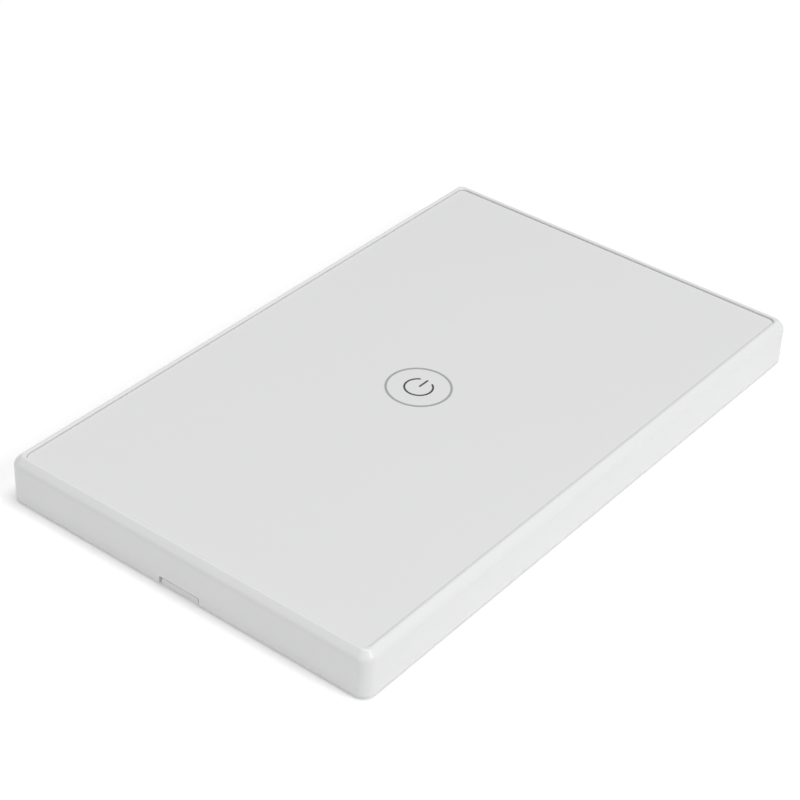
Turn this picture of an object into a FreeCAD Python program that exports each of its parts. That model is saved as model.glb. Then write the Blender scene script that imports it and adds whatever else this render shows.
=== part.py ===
import FreeCAD, Part
import math
import os
import re

import Sketcher
from FreeCAD import Rotation, Vector

# A battery-powered touch wall switch: a glass-fronted cover that snaps over a flat back plate.
# It lies on its back. Millimetres, +Z out of the wall through the glass, X across, Y up the wall,
# origin on the rear face under the middle of the plate.

# --- driving dimensions -----------------------------------------------------------------------

DIMENSIONS = {
    # whole plate
    "plate_length": 120.0,
    "plate_width": 74.0,
    "plate_height": 8.6,
    "corner_radius": 2.2,
    # front frame
    "rim_width": 1.8,
    "rim_proud": 0.4,
    "edge_chamfer": 1.2,
    "foot_round": 0.3,
    "opening_radius": 1.2,
    "skirt_wall": 1.2,
    "skirt_lift": 0.3,
    "inside_radius": 0.8,
    "ledge_width": 4.0,
    "ledge_thickness": 1.2,
    "fit_gap": 0.3,
    "notch_width": 8.3,
    "notch_height": 1.75,
    "pry_tab_inset": 0.25,
    "pry_tab_lift": 0.25,
    "pry_tab_drop": 0.4,
    "pry_tab_gap": 0.4,
    "rib_length": 5.0,
    "rib_reach": 1.0,
    "rib_drop": 2.7,
    "side_rib_spacing": 60.0,
    "end_rib_spacing": 40.0,
    # glass and what is bonded to it
    "glass_thickness": 2.0,
    "glass_gap": 0.05,
    "glass_arris": 0.25,
    "backing_thickness": 0.15,
    "backing_inset": 0.4,
    "tape_thickness": 0.25,
    "tape_width": 2.8,
    # printed touch mark
    "mark_thickness": 0.04,
    "mark_shift": -0.6,
    "ring_radius": 5.6,
    "ring_line": 0.4,
    "symbol_radius": 2.45,
    "symbol_line": 0.33,
    "symbol_gap_angle": 57.0,
    "stem_start": 0.15,
    "stem_end": 2.64,
    # back plate
    "floor_thickness": 1.4,
    "base_wall": 1.2,
    "base_radius": 1.0,
    "wall_screw_spacing": 83.3,
    "slot_width": 4.6,
    "slot_length": 7.6,
    "collar_wall": 1.6,
    "collar_height": 0.6,
    "stiffener_width": 1.0,
    "stiffener_height": 1.0,
    "stiffener_inset": 8.5,
    "pad_width": 12.0,
    "pad_length": 56.0,
    "pad_thickness": 0.7,
    "pad_gap": 0.2,
    "pad_inset": 5.5,
    # control board and its screws
    "board_width": 50.0,
    "board_margin": 2.3,
    "board_thickness": 1.0,
    "board_height": 2.4,
    "board_radius": 1.5,
    "board_screw_inset": 3.0,
    "boss_radius": 2.4,
    "screw_radius": 1.0,
    "screw_depth": 1.7,
    "screw_hole_gap": 0.2,
    "screw_head_radius": 1.9,
    "screw_head_height": 1.1,
    "screw_recess_width": 0.5,
    "screw_recess_length": 2.2,
    "screw_recess_depth": 0.6,
    # touch spring and light guide
    "spring_radius": 3.1,
    "spring_wire": 0.5,
    "spring_turns": 3.0,
    "spring_lift": 0.05,
    "spring_foot_radius": 0.5,
    "spring_foot_height": 0.4,
    "spring_gap": 0.1,
    "guide_outer_radius": 6.4,
    "guide_inner_radius": 4.4,
    "guide_lift": 0.8,
    "guide_leg_radius": 0.55,
    "led_length": 1.6,
    "led_width": 0.8,
    "led_height": 0.6,
    # coin cell and holder
    "cell_radius": 10.0,
    "cell_thickness": 3.2,
    "cell_cap_step": 1.4,
    "cell_cap_height": 0.3,
    "cell_guide_gap": 1.7,
    "cell_lift": 0.35,
    "cell_gap": 0.25,
    "holder_wall": 2.25,
    "holder_height": 3.0,
    "holder_lift": 0.1,
    "holder_gap": 0.2,
    "flange_reach": 2.5,
    "flange_width": 10.0,
    "flange_thickness": 0.6,
    "seat_ledge": 2.0,
    "contact_width": 3.0,
    "contact_thickness": 0.2,
    "contact_end_gap": 0.5,
    "contact_lap": 2.2,
    # pairing button
    "switch_size": 4.6,
    "switch_height": 1.4,
    "button_radius": 1.0,
    "button_gap": 0.08,
    "button_well": 0.9,
    "button_rest_gap": 0.3,
    "button_length": 1.1,
    "switch_x": -15.0,
    "switch_y": -20.0,
    # radio
    "module_width": 14.0,
    "module_length": 11.0,
    "module_thickness": 0.6,
    "module_x": 12.0,
    "module_y": -19.0,
    "shield_width": 10.0,
    "shield_length": 9.0,
    "shield_height": 1.4,
    "antenna_radius": 0.8,
    "antenna_wire": 0.4,
    "antenna_pitch": 1.2,
    "antenna_turns": 10.0,
    "antenna_x": -6.0,
    "antenna_y": -31.0,
    # moulded chips: body, and the leads they share
    "touch_chip_length": 5.0,
    "touch_chip_width": 3.9,
    "touch_chip_height": 1.4,
    "touch_chip_x": -10.5,
    "touch_chip_y": -14.0,
    "regulator_length": 2.9,
    "regulator_width": 1.4,
    "regulator_height": 1.0,
    "regulator_x": 17.0,
    "regulator_y": -31.5,
    "lead_width": 0.4,
    "lead_reach": 0.9,
    "lead_root": 0.1,
    "lead_thickness": 0.2,
    "chip_lift": 0.1,
    # other soldered parts
    "crystal_length": 5.0,
    "crystal_width": 3.2,
    "crystal_base": 0.4,
    "crystal_step": 0.3,
    "crystal_lid": 0.7,
    "crystal_x": -3.0,
    "crystal_y": -26.5,
    "capacitor_length": 2.0,
    "capacitor_width": 1.25,
    "capacitor_height": 0.9,
    "resistor_length": 1.6,
    "resistor_width": 0.8,
    "resistor_height": 0.5,
    "storage_length": 3.5,
    "storage_width": 2.8,
    "storage_height": 1.9,
    "storage_x": 19.0,
    "storage_y": -8.5,
}

doc = FreeCAD.newDocument("touch_switch")
sheet = doc.addObject("Spreadsheet::Sheet", "Dimensions")
for row, (alias, number) in enumerate(DIMENSIONS.items(), start=1):
    sheet.set(f"A{row}", alias)
    sheet.set(f"B{row}", str(number))
    sheet.setAlias(f"B{row}", alias)
doc.recompute()

TOUCH = 1e-6

# --- heights and outlines that several pieces share, as formulas on the sheet -------------------

GLASS_TOP = "(plate_height - rim_proud)"
GLASS_BACK = f"({GLASS_TOP} - glass_thickness)"
BACKING_BACK = f"({GLASS_BACK} - backing_thickness)"
LEDGE_TOP = f"({BACKING_BACK} - tape_thickness)"
LEDGE_BOTTOM = f"({LEDGE_TOP} - ledge_thickness)"
RIB_BOTTOM = f"({LEDGE_BOTTOM} - rib_drop)"
BASE_TOP = f"({LEDGE_BOTTOM} - fit_gap)"
BOARD_TOP = "(board_height + board_thickness)"
CELL_BOTTOM = "(floor_thickness + cell_lift)"
HOLDER_BOTTOM = "(floor_thickness + holder_lift)"

HOLDER_SIZE = "(2 * (cell_radius + cell_gap + holder_wall))"
SEAT_RADIUS = "(cell_radius - seat_ledge)"
CELL_PLACE = f"(mark_shift + guide_outer_radius + cell_guide_gap + {HOLDER_SIZE} / 2)"
BOARD_LENGTH = f"(2 * ({CELL_PLACE} + {HOLDER_SIZE} / 2 + holder_gap + board_margin))"

OPENING = ("(plate_width - 2 * rim_width)", "(plate_length - 2 * rim_width)")
GLASS = tuple(f"({side} - 2 * glass_gap)" for side in OPENING)
BACKING = tuple(f"({side} - 2 * backing_inset)" for side in GLASS)
WINDOW = tuple(f"({side} - 2 * ledge_width)" for side in OPENING)
INSIDE = ("(plate_width - 2 * skirt_wall)", "(plate_length - 2 * skirt_wall)")
BASE = tuple(f"({side} - 2 * fit_gap)" for side in INSIDE)
WELL = tuple(f"({side} - 2 * base_wall)" for side in BASE)


def formula(text):
    """A formula written with bare aliases, as the sheet's own expression."""
    return re.sub(r"[a-z][a-z_]+", lambda found: found.group(0) if found.group(0) not in DIMENSIONS
                  else f"Dimensions.{found.group(0)}", str(text))


def value(text):
    """The number that a formula gives now."""
    result = sheet.evalExpression(formula(text))
    return float(getattr(result, "Value", result))


# --- sketches and body features ------------------------------------------------------------------

def new_body(label):
    body = doc.addObject("PartDesign::Body", label)
    body.Label = label
    return body


def new_sketch(body, name, height):
    """A sketch on the body's own XY plane, lifted to a height."""
    sketch = body.newObject("Sketcher::SketchObject", name)
    plane = next(item for item in body.Origin.OriginFeatures if item.Role == "XY_Plane")
    sketch.AttachmentSupport = [(plane, "")]
    sketch.MapMode = "FlatFace"
    sketch.setExpression("AttachmentOffset.Base.z", formula(height))
    return sketch


def constrain(sketch, kind, places, text):
    """A dimension driven by a formula: places is what the constraint holds."""
    index = sketch.addConstraint(Sketcher.Constraint(kind, *places, value(text)))
    sketch.setExpression(f"Constraints[{index}]", formula(text))


def rectangle(sketch, size, middle=("0", "0")):
    """Four lines round a middle point, sized and placed by formulas."""
    width, length = value(size[0]), value(size[1])
    x, y = value(middle[0]), value(middle[1])
    corners = [Vector(x + sx * width / 2, y + sy * length / 2)
               for sx, sy in ((-1, -1), (1, -1), (1, 1), (-1, 1))]
    first = sketch.GeometryCount
    for side in range(4):
        sketch.addGeometry(Part.LineSegment(corners[side], corners[(side + 1) % 4]))
    for side in range(4):
        sketch.addConstraint(Sketcher.Constraint("Coincident", first + side, 2,
                                                 first + (side + 1) % 4, 1))
        sketch.addConstraint(Sketcher.Constraint(("Horizontal", "Vertical")[side % 2], first + side))
    constrain(sketch, "DistanceX", (first, 1, first, 2), size[0])
    constrain(sketch, "DistanceY", (first + 1, 1, first + 1, 2), size[1])
    constrain(sketch, "DistanceX", (-1, 1, first, 1), f"{middle[0]} - {size[0]} / 2")
    constrain(sketch, "DistanceY", (-1, 1, first, 1), f"{middle[1]} - {size[1]} / 2")


def rounded_rectangle(sketch, size, radius, middle=("0", "0")):
    """Four lines joined by four tangent quarter arcs."""
    half = (value(size[0]) / 2, value(size[1]) / 2)
    x, y = value(middle[0]), value(middle[1])
    r = value(radius)
    first = sketch.GeometryCount
    for side in range(4):
        along = Vector(*((1, 0), (0, 1), (-1, 0), (0, -1))[side], 0)
        outward = Vector(along.y, -along.x, 0)
        reach = half[side % 2] - r
        middle_of_side = Vector(x, y, 0) + outward * half[(side + 1) % 2]
        sketch.addGeometry(Part.LineSegment(middle_of_side - along * reach,
                                            middle_of_side + along * reach))
    for side in range(4):
        along = Vector(*((1, 0), (0, 1), (-1, 0), (0, -1))[side], 0)
        outward = Vector(along.y, -along.x, 0)
        centre = (Vector(x, y, 0) + outward * (half[(side + 1) % 2] - r)
                  + along * (half[side % 2] - r))
        circle = Part.Circle(centre, Vector(0, 0, 1), r)
        start = math.radians(-90 + 90 * side)
        sketch.addGeometry(Part.ArcOfCircle(circle, start, start + math.pi / 2))
    for side in range(4):
        arc = first + 4 + side
        sketch.addConstraint(Sketcher.Constraint("Tangent", first + side, 2, arc, 1))
        sketch.addConstraint(Sketcher.Constraint("Tangent", arc, 2, first + (side + 1) % 4, 1))
        sketch.addConstraint(Sketcher.Constraint(("Horizontal", "Vertical")[side % 2], first + side))
    for side in range(1, 4):
        sketch.addConstraint(Sketcher.Constraint("Equal", first + 4, first + 4 + side))
    constrain(sketch, "Radius", (first + 4,), radius)
    constrain(sketch, "DistanceX", (first + 3, 1, first + 1, 1), size[0])
    constrain(sketch, "DistanceY", (first, 1, first + 2, 1), size[1])
    constrain(sketch, "DistanceX", (-1, 1, first + 3, 1), f"{middle[0]} - {size[0]} / 2")
    constrain(sketch, "DistanceY", (-1, 1, first, 1), f"{middle[1]} - {size[1]} / 2")


def circle(sketch, radius, middle):
    first = sketch.GeometryCount
    centre = Vector(value(middle[0]), value(middle[1]), 0)
    sketch.addGeometry(Part.Circle(centre, Vector(0, 0, 1), value(radius)))
    constrain(sketch, "Radius", (first,), radius)
    constrain(sketch, "DistanceX", (-1, 1, first, 3), middle[0])
    constrain(sketch, "DistanceY", (-1, 1, first, 3), middle[1])


def slot(sketch, width, length, middle):
    """A slot along Y: two lines and two half circles."""
    r = value(width) / 2
    reach = value(length) / 2 - r
    x, y = value(middle[0]), value(middle[1])
    first = sketch.GeometryCount
    up = Vector(0, 0, 1)
    sketch.addGeometry(Part.LineSegment(Vector(x + r, y - reach), Vector(x + r, y + reach)))
    sketch.addGeometry(Part.ArcOfCircle(Part.Circle(Vector(x, y + reach), up, r), 0, math.pi))
    sketch.addGeometry(Part.LineSegment(Vector(x - r, y + reach), Vector(x - r, y - reach)))
    sketch.addGeometry(Part.ArcOfCircle(Part.Circle(Vector(x, y - reach), up, r),
                                        math.pi, 2 * math.pi))
    for item in range(4):
        sketch.addConstraint(Sketcher.Constraint("Tangent", first + item, 2,
                                                 first + (item + 1) % 4, 1))
    sketch.addConstraint(Sketcher.Constraint("Vertical", first))
    sketch.addConstraint(Sketcher.Constraint("Equal", first + 1, first + 3))
    constrain(sketch, "Radius", (first + 1,), f"{width} / 2")
    constrain(sketch, "DistanceY", (first + 3, 3, first + 1, 3), f"{length} - {width}")
    constrain(sketch, "DistanceX", (-1, 1, first + 3, 3), middle[0])
    constrain(sketch, "DistanceY", (-1, 1, first + 3, 3), f"{middle[1]} - ({length} - {width}) / 2")


def pad(body, sketch, height):
    feature = body.newObject("PartDesign::Pad", f"{sketch.Name}_pad")
    feature.Profile = sketch
    feature.setExpression("Length", formula(height))
    doc.recompute()
    return feature


def pocket(body, sketch, depth, upward=False):
    """Cuts below the sketch, or above it, and makes sure that material went."""
    before = body.Shape.Volume
    feature = body.newObject("PartDesign::Pocket", f"{sketch.Name}_pocket")
    feature.Profile = sketch
    feature.Reversed = upward
    feature.setExpression("Length", formula(depth))
    doc.recompute()
    if feature.Shape.Volume >= before:
        raise RuntimeError(f"{feature.Name} cuts nothing")
    return feature


def outline_edges(feature, height):
    """The names of the edges that lie wholly at a height, on the outside of the shape."""
    whole = feature.Shape.BoundBox
    names = []
    for number, edge in enumerate(feature.Shape.Edges, start=1):
        box = edge.BoundBox
        flat = abs(box.ZMin - height) < TOUCH and abs(box.ZMax - height) < TOUCH
        gaps = (box.XMin - whole.XMin, whole.XMax - box.XMax,
                box.YMin - whole.YMin, whole.YMax - box.YMax)
        if flat and min(gaps) < TOUCH:
            names.append(f"Edge{number}")
    return names


def dress(body, kind, base, height, size):
    """A Chamfer or Fillet round the outside edges at a height."""
    feature = body.newObject(f"PartDesign::{kind}", f"{base.Name}_{kind.lower()}")
    feature.Base = (base, outline_edges(base, value(height)))
    feature.setExpression("Size" if kind == "Chamfer" else "Radius", formula(size))
    doc.recompute()
    return feature


# --- primitives and booleans ---------------------------------------------------------------------

def place(item, x, y, z):
    for axis, text in zip("xyz", (x, y, z)):
        item.setExpression(f"Placement.Base.{axis}", formula(text))
    return item


def block(name, size, middle, bottom):
    """A box centred over a point, standing at a height."""
    item = doc.addObject("Part::Box", name)
    for side, text in zip(("Length", "Width", "Height"), size):
        item.setExpression(side, formula(text))
    return place(item, f"{middle[0]} - ({size[0]}) / 2", f"{middle[1]} - ({size[1]}) / 2", bottom)


def rod(name, radius, height, middle, bottom):
    """An upright cylinder."""
    item = doc.addObject("Part::Cylinder", name)
    item.setExpression("Radius", formula(radius))
    item.setExpression("Height", formula(height))
    return place(item, middle[0], middle[1], bottom)


def joined(name, items):
    item = doc.addObject("Part::MultiFuse", name)
    item.Shapes = items
    return item


def minus(name, base, tool):
    item = doc.addObject("Part::Cut", name)
    item.Base = base
    item.Tool = tool
    return item


def group(name, items):
    """Separate solids that count as one sub-part."""
    item = doc.addObject("Part::Compound", name)
    item.Links = items
    return item


def coil(name, radius, wire, pitch, height):
    """A round wire swept along a helix that starts at the origin and rises along Z."""
    path = doc.addObject("Part::Helix", f"{name}_path")
    path.setExpression("Radius", formula(radius))
    path.setExpression("Pitch", formula(pitch))
    path.setExpression("Height", formula(height))
    section = doc.addObject("Part::Circle", f"{name}_section")
    section.setExpression("Radius", formula(f"{wire} / 2"))
    section.Placement.Rotation = Rotation(Vector(1, 0, 0), 90)
    section.setExpression("Placement.Base.x", formula(radius))
    item = doc.addObject("Part::Sweep", name)
    item.Sections = [section]
    item.Spine = (path, [])
    item.Solid = True
    item.Frenet = True
    return item


# --- the cover: frame, glass, backing, tape and the touch mark ------------------------------------

def rib_places():
    """Where the frame's ribs stand: middle of each rib's wall line, and whether it runs along Y."""
    places = []
    for side in (-1, 1):
        for end in (-1, 1):
            places.append((f"({side} * {INSIDE[0]} / 2)", f"({end} * side_rib_spacing / 2)", True))
            places.append((f"({side} * end_rib_spacing / 2)", f"({end} * {INSIDE[1]} / 2)", False))
    return places


def front_frame():
    """A shallow box without a bottom: outer skirt, glass recess, ledge, window, ribs and notch."""
    body = new_body("front_frame")
    sketch = new_sketch(body, "frame_outline", "skirt_lift")
    rounded_rectangle(sketch, ("plate_width", "plate_length"), "corner_radius")
    solid = pad(body, sketch, "plate_height - skirt_lift")
    solid = dress(body, "Chamfer", solid, "plate_height", "edge_chamfer")
    dress(body, "Fillet", solid, "skirt_lift", "foot_round")
    sketch = new_sketch(body, "glass_recess", "plate_height")
    rounded_rectangle(sketch, OPENING, "opening_radius")
    pocket(body, sketch, f"plate_height - {LEDGE_TOP}")
    sketch = new_sketch(body, "frame_inside", "skirt_lift")
    rounded_rectangle(sketch, INSIDE, "inside_radius")
    pocket(body, sketch, f"{LEDGE_BOTTOM} - skirt_lift", upward=True)
    sketch = new_sketch(body, "frame_window", LEDGE_TOP)
    rounded_rectangle(sketch, WINDOW, "opening_radius")
    pocket(body, sketch, "ledge_thickness")
    sketch = new_sketch(body, "pry_notch", "skirt_lift")
    rectangle(sketch, ("notch_width", "(2 * (skirt_wall + fit_gap))"), ("0", "(-plate_length / 2)"))
    pocket(body, sketch, "notch_height - skirt_lift", upward=True)
    sketch = new_sketch(body, "frame_ribs", RIB_BOTTOM)
    for x, y, along_y in rib_places():
        size = ("(2 * rib_reach)", "rib_length") if along_y else ("rib_length", "(2 * rib_reach)")
        rectangle(sketch, size, (x, y))
    pad(body, sketch, f"{LEDGE_BOTTOM} + ledge_thickness / 2 - {RIB_BOTTOM}")
    return body


def sheet_of(label, size, radius, bottom, thickness):
    """A flat rounded rectangle."""
    body = new_body(label)
    sketch = new_sketch(body, f"{label}_outline", bottom)
    rounded_rectangle(sketch, size, radius)
    pad(body, sketch, thickness)
    return body


def glass_panel():
    body = sheet_of("glass_panel", GLASS, "(opening_radius - glass_gap)", GLASS_BACK,
                    "glass_thickness")
    dress(body, "Chamfer", body.Tip, GLASS_TOP, "glass_arris")
    return body


def glass_tape():
    """A picture-frame of adhesive tape between the backing and the frame's ledge."""
    body = sheet_of("glass_tape", BACKING, "(opening_radius - glass_gap)", LEDGE_TOP,
                    "tape_thickness")
    sketch = new_sketch(body, "tape_window", BACKING_BACK)
    inner = tuple(f"({side} - 2 * tape_width)" for side in BACKING)
    rounded_rectangle(sketch, inner, "opening_radius")
    pocket(body, sketch, "tape_thickness")
    return body


def touch_ring_mark():
    """A thin printed ring on the glass."""
    middle = ("0", "mark_shift")
    outer = rod("ring_outer", "ring_radius + ring_line / 2", "mark_thickness", middle, GLASS_TOP)
    inner = rod("ring_inner", "ring_radius - ring_line / 2", "mark_thickness", middle, GLASS_TOP)
    return minus("touch_ring_mark", outer, inner)


def power_symbol_mark():
    """A ring open at the top, with a stem that stands in the gap."""
    middle = ("0", "mark_shift")
    outer = rod("symbol_outer", "symbol_radius + symbol_line / 2", "mark_thickness", middle,
                GLASS_TOP)
    outer.setExpression("Angle", formula("360 - symbol_gap_angle"))
    outer.Placement.Rotation = Rotation(Vector(0, 0, 1), 90 + value("symbol_gap_angle") / 2)
    inner = rod("symbol_inner", "symbol_radius - symbol_line / 2", "mark_thickness", middle,
                GLASS_TOP)
    arc = minus("symbol_arc", outer, inner)
    stem = block("symbol_stem", ("symbol_line", "(stem_end - stem_start)", "mark_thickness"),
                 ("0", "(mark_shift + (stem_start + stem_end) / 2)"), GLASS_TOP)
    return group("power_symbol_mark", [arc, stem])


# --- the base: back plate and wall pads -----------------------------------------------------------

def board_screw_places():
    x = "(board_width / 2 - board_screw_inset)"
    y = f"({BOARD_LENGTH} / 2 - board_screw_inset)"
    return [(f"({sx} * {x})", f"({sy} * {y})") for sx in (-1, 1) for sy in (-1, 1)]


def wall_screw_places():
    return [("0", f"({side} * wall_screw_spacing / 2)") for side in (-1, 1)]


def wall_pad_places():
    return [(f"({side} * ({BASE[0]} / 2 - pad_inset - pad_width / 2))", "0") for side in (-1, 1)]


def back_plate():
    """A tray that the cover snaps over, with bosses for the board and slots for two wall screws.

    A small ledge stands in the cover's notch, for a screwdriver to bear on.
    """
    body = new_body("back_plate")
    sketch = new_sketch(body, "base_outline", "0")
    rounded_rectangle(sketch, BASE, "base_radius")
    solid = pad(body, sketch, BASE_TOP)
    dress(body, "Fillet", solid, "0", "foot_round")
    sketch = new_sketch(body, "base_well", BASE_TOP)
    rounded_rectangle(sketch, WELL, "base_radius")
    pocket(body, sketch, f"{BASE_TOP} - floor_thickness")
    sketch = new_sketch(body, "pry_tab", "pry_tab_lift")
    tab_end = "(-(plate_length / 2 - pry_tab_inset))"
    tab_root = f"(-({BASE[1]} / 2 - base_wall / 2))"
    rectangle(sketch, ("(notch_width - 2 * pry_tab_gap)", f"({tab_root} - {tab_end})"),
              ("0", f"(({tab_root} + {tab_end}) / 2)"))
    pad(body, sketch, "notch_height - pry_tab_drop - pry_tab_lift")
    sketch = new_sketch(body, "screw_bosses", "floor_thickness / 2")
    for middle in board_screw_places():
        circle(sketch, "boss_radius", middle)
    pad(body, sketch, "board_height - floor_thickness / 2")
    sketch = new_sketch(body, "slot_collars", "floor_thickness / 2")
    for middle in wall_screw_places():
        slot(sketch, "(slot_width + 2 * collar_wall)", "(slot_length + 2 * collar_wall)", middle)
    pad(body, sketch, "floor_thickness / 2 + collar_height")
    sketch = new_sketch(body, "stiffeners", "floor_thickness / 2")
    for side in (-1, 1):
        rectangle(sketch, (f"({WELL[0]} + base_wall)", "stiffener_width"),
                  ("0", f"({side} * ({BASE[1]} / 2 - stiffener_inset))"))
    pad(body, sketch, "floor_thickness / 2 + stiffener_height")
    sketch = new_sketch(body, "screw_pilots", "board_height")
    for middle in board_screw_places():
        circle(sketch, "screw_radius", middle)
    pocket(body, sketch, "screw_depth")
    sketch = new_sketch(body, "wall_screw_slots", "0")
    for middle in wall_screw_places():
        slot(sketch, "slot_width", "slot_length", middle)
    pocket(body, sketch, "floor_thickness + collar_height", upward=True)
    sketch = new_sketch(body, "pad_recesses", "0")
    for middle in wall_pad_places():
        rectangle(sketch, ("(pad_width + 2 * pad_gap)", "(pad_length + 2 * pad_gap)"), middle)
    pocket(body, sketch, "pad_thickness", upward=True)
    sketch = new_sketch(body, "rib_slots", BASE_TOP)
    for x, y, along_y in rib_places():
        across = "(2 * (fit_gap + base_wall + fit_gap))"
        along = "(rib_length + 2 * fit_gap)"
        rectangle(sketch, (across, along) if along_y else (along, across), (x, y))
    pocket(body, sketch, f"{BASE_TOP} - {RIB_BOTTOM} + fit_gap")
    return body


def wall_pads():
    """Two adhesive foam strips let into the rear face."""
    size = ("pad_width", "pad_length", "pad_thickness")
    return group("wall_pads", [block(f"wall_pad_{number}", size, middle, "0")
                               for number, middle in enumerate(wall_pad_places())])


# --- the control board and what is soldered to it -------------------------------------------------

def control_board():
    body = sheet_of("control_board", ("board_width", BOARD_LENGTH), "board_radius",
                    "board_height", "board_thickness")
    sketch = new_sketch(body, "board_holes", BOARD_TOP)
    for middle in board_screw_places():
        circle(sketch, "(screw_radius + screw_hole_gap)", middle)
    cut_side = f"({HOLDER_SIZE} + 2 * holder_gap)"
    rectangle(sketch, (cut_side, cut_side), ("0", CELL_PLACE))
    pocket(body, sketch, "board_thickness")
    return body


def board_screws():
    """Four pan-head screws with a cross recess."""
    screws = []
    for number, middle in enumerate(board_screw_places()):
        head = rod(f"screw_head_{number}", "screw_head_radius", "screw_head_height", middle,
                   BOARD_TOP)
        shank = rod(f"screw_shank_{number}", "screw_radius", "board_thickness + screw_depth",
                    middle, "(board_height - screw_depth)")
        recess_bottom = f"({BOARD_TOP} + screw_head_height - screw_recess_depth)"
        sizes = [("screw_recess_width", "screw_recess_length"),
                 ("screw_recess_length", "screw_recess_width")]
        recess = joined(f"screw_recess_{number}",
                        [block(f"screw_slot_{number}_{turn}", (*size, "screw_recess_depth"), middle,
                               recess_bottom) for turn, size in enumerate(sizes)])
        solid = joined(f"screw_body_{number}", [head, shank])
        screws.append(minus(f"screw_{number}", solid, recess))
    return group("board_screws", screws)


def touch_spring():
    """The coil that carries the touch signal from the board to the back of the glass.

    Its lower end stands on a short foot, which is soldered to the board.
    """
    height = f"({BACKING_BACK} - spring_gap - {BOARD_TOP} - spring_lift - spring_wire)"
    helix = coil("spring_helix", "spring_radius", "spring_wire", f"{height} / spring_turns", height)
    place(helix, "0", "mark_shift", f"{BOARD_TOP} + spring_lift + spring_wire / 2")
    foot = rod("spring_foot", "spring_foot_radius", "spring_foot_height",
               ("spring_radius", "mark_shift"), BOARD_TOP)
    return joined("touch_spring", [helix, foot])


def around_mark(radius, angle):
    """A point on a circle about the touch mark, as two formulas."""
    x = math.cos(math.radians(angle))
    y = math.sin(math.radians(angle))
    return (f"({radius} * {x:.6f})", f"(mark_shift + {radius} * {y:.6f})")


GUIDE_LEG_ANGLES = (30, 150, 270)
LED_ANGLES = (90, 210, 330)
GUIDE_MIDDLE_RADIUS = "((guide_outer_radius + guide_inner_radius) / 2)"


def light_guide():
    """A clear ring on three legs that spreads the light under the printed ring."""
    middle = ("0", "mark_shift")
    bottom = f"({BOARD_TOP} + guide_lift)"
    height = f"({BACKING_BACK} - fit_gap - {bottom})"
    ring = minus("guide_ring", rod("guide_outer", "guide_outer_radius", height, middle, bottom),
                 rod("guide_inner", "guide_inner_radius", height, middle, bottom))
    legs = [rod(f"guide_leg_{angle}", "guide_leg_radius", f"guide_lift + {height} / 2",
                around_mark(GUIDE_MIDDLE_RADIUS, angle), BOARD_TOP) for angle in GUIDE_LEG_ANGLES]
    return joined("light_guide", [ring, *legs])


def indicator_leds():
    leds = [block(f"led_{angle}", ("led_length", "led_width", "led_height"),
                  around_mark(GUIDE_MIDDLE_RADIUS, angle), BOARD_TOP) for angle in LED_ANGLES]
    return group("indicator_leds", leds)


def leaded_chip(label, alias, lead_count, lead_pitch):
    """A moulded chip body with flat leads along its two long sides."""
    size = tuple(f"{alias}_{side}" for side in ("length", "width", "height"))
    middle = (f"{alias}_x", f"{alias}_y")
    lead_size = ("lead_width", "lead_reach", "lead_thickness")
    pieces = [block(f"{label}_body", size, middle, f"({BOARD_TOP} + chip_lift)")]
    for side in (-1, 1):
        y = f"({middle[1]} + {side} * ({size[1]} / 2 + lead_reach / 2 - lead_root))"
        for lead in range(lead_count):
            shift = (lead - (lead_count - 1) / 2) * lead_pitch
            pieces.append(block(f"{label}_lead_{side + 1}_{lead}", lead_size,
                                (f"({middle[0]} + {shift:.3f})", y), BOARD_TOP))
    return joined(label, pieces)


def radio_module():
    return block("radio_module", ("module_width", "module_length", "module_thickness"),
                 ("module_x", "module_y"), BOARD_TOP)


def radio_shield():
    return block("radio_shield", ("shield_width", "shield_length", "shield_height"),
                 ("module_x", "module_y"), f"{BOARD_TOP} + module_thickness")


def antenna_coil():
    """A wire helix lying along X, its two ends standing on the board."""
    length = "(antenna_pitch * antenna_turns)"
    axis_height = f"({BOARD_TOP} + antenna_radius + antenna_wire)"
    helix = coil("antenna_helix", "antenna_radius", "antenna_wire", "antenna_pitch", length)
    helix.Placement.Rotation = Rotation(Vector(0, 1, 0), 90)
    place(helix, f"antenna_x - {length} / 2", "antenna_y", axis_height)
    stubs = [rod(f"antenna_stub_{side + 1}", "antenna_wire / 2", "antenna_wire",
                 (f"(antenna_x + {side} * {length} / 2)", "antenna_y"), BOARD_TOP)
             for side in (-1, 1)]
    return joined("antenna_coil", [helix, *stubs])


# Small surface-mounted parts: each is (x, y) of its middle on the board, lying along X.
CAPACITOR_PLACES = ((-4.0, -9.5), (4.0, -9.5), (-17.0, -9.0), (1.5, -17.0), (1.5, -20.0),
                    (18.0, -28.5))
RESISTOR_PLACES = ((-17.0, -6.0), (8.5, -9.5), (13.0, -9.5), (-4.5, -19.5), (-4.5, -22.0))


def chip_row(label, places, alias):
    size = tuple(f"{alias}_{side}" for side in ("length", "width", "height"))
    chips = [block(f"{label}_{number}", size, (f"({x})", f"({y})"), BOARD_TOP)
             for number, (x, y) in enumerate(places)]
    return group(label, chips)


def storage_capacitor():
    size = ("storage_length", "storage_width", "storage_height")
    return block("storage_capacitor", size, ("storage_x", "storage_y"), BOARD_TOP)


def crystal():
    """A low ceramic base with a smaller metal lid."""
    middle = ("crystal_x", "crystal_y")
    base = block("crystal_foot", ("crystal_length", "crystal_width", "crystal_base"), middle,
                 BOARD_TOP)
    lid_size = ("crystal_length - 2 * crystal_step", "crystal_width - 2 * crystal_step",
                "crystal_lid")
    lid = block("crystal_cap", lid_size, middle, f"{BOARD_TOP} + crystal_base")
    return joined("crystal", [base, lid])


# --- the coin cell, its holder and contacts -------------------------------------------------------

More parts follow.
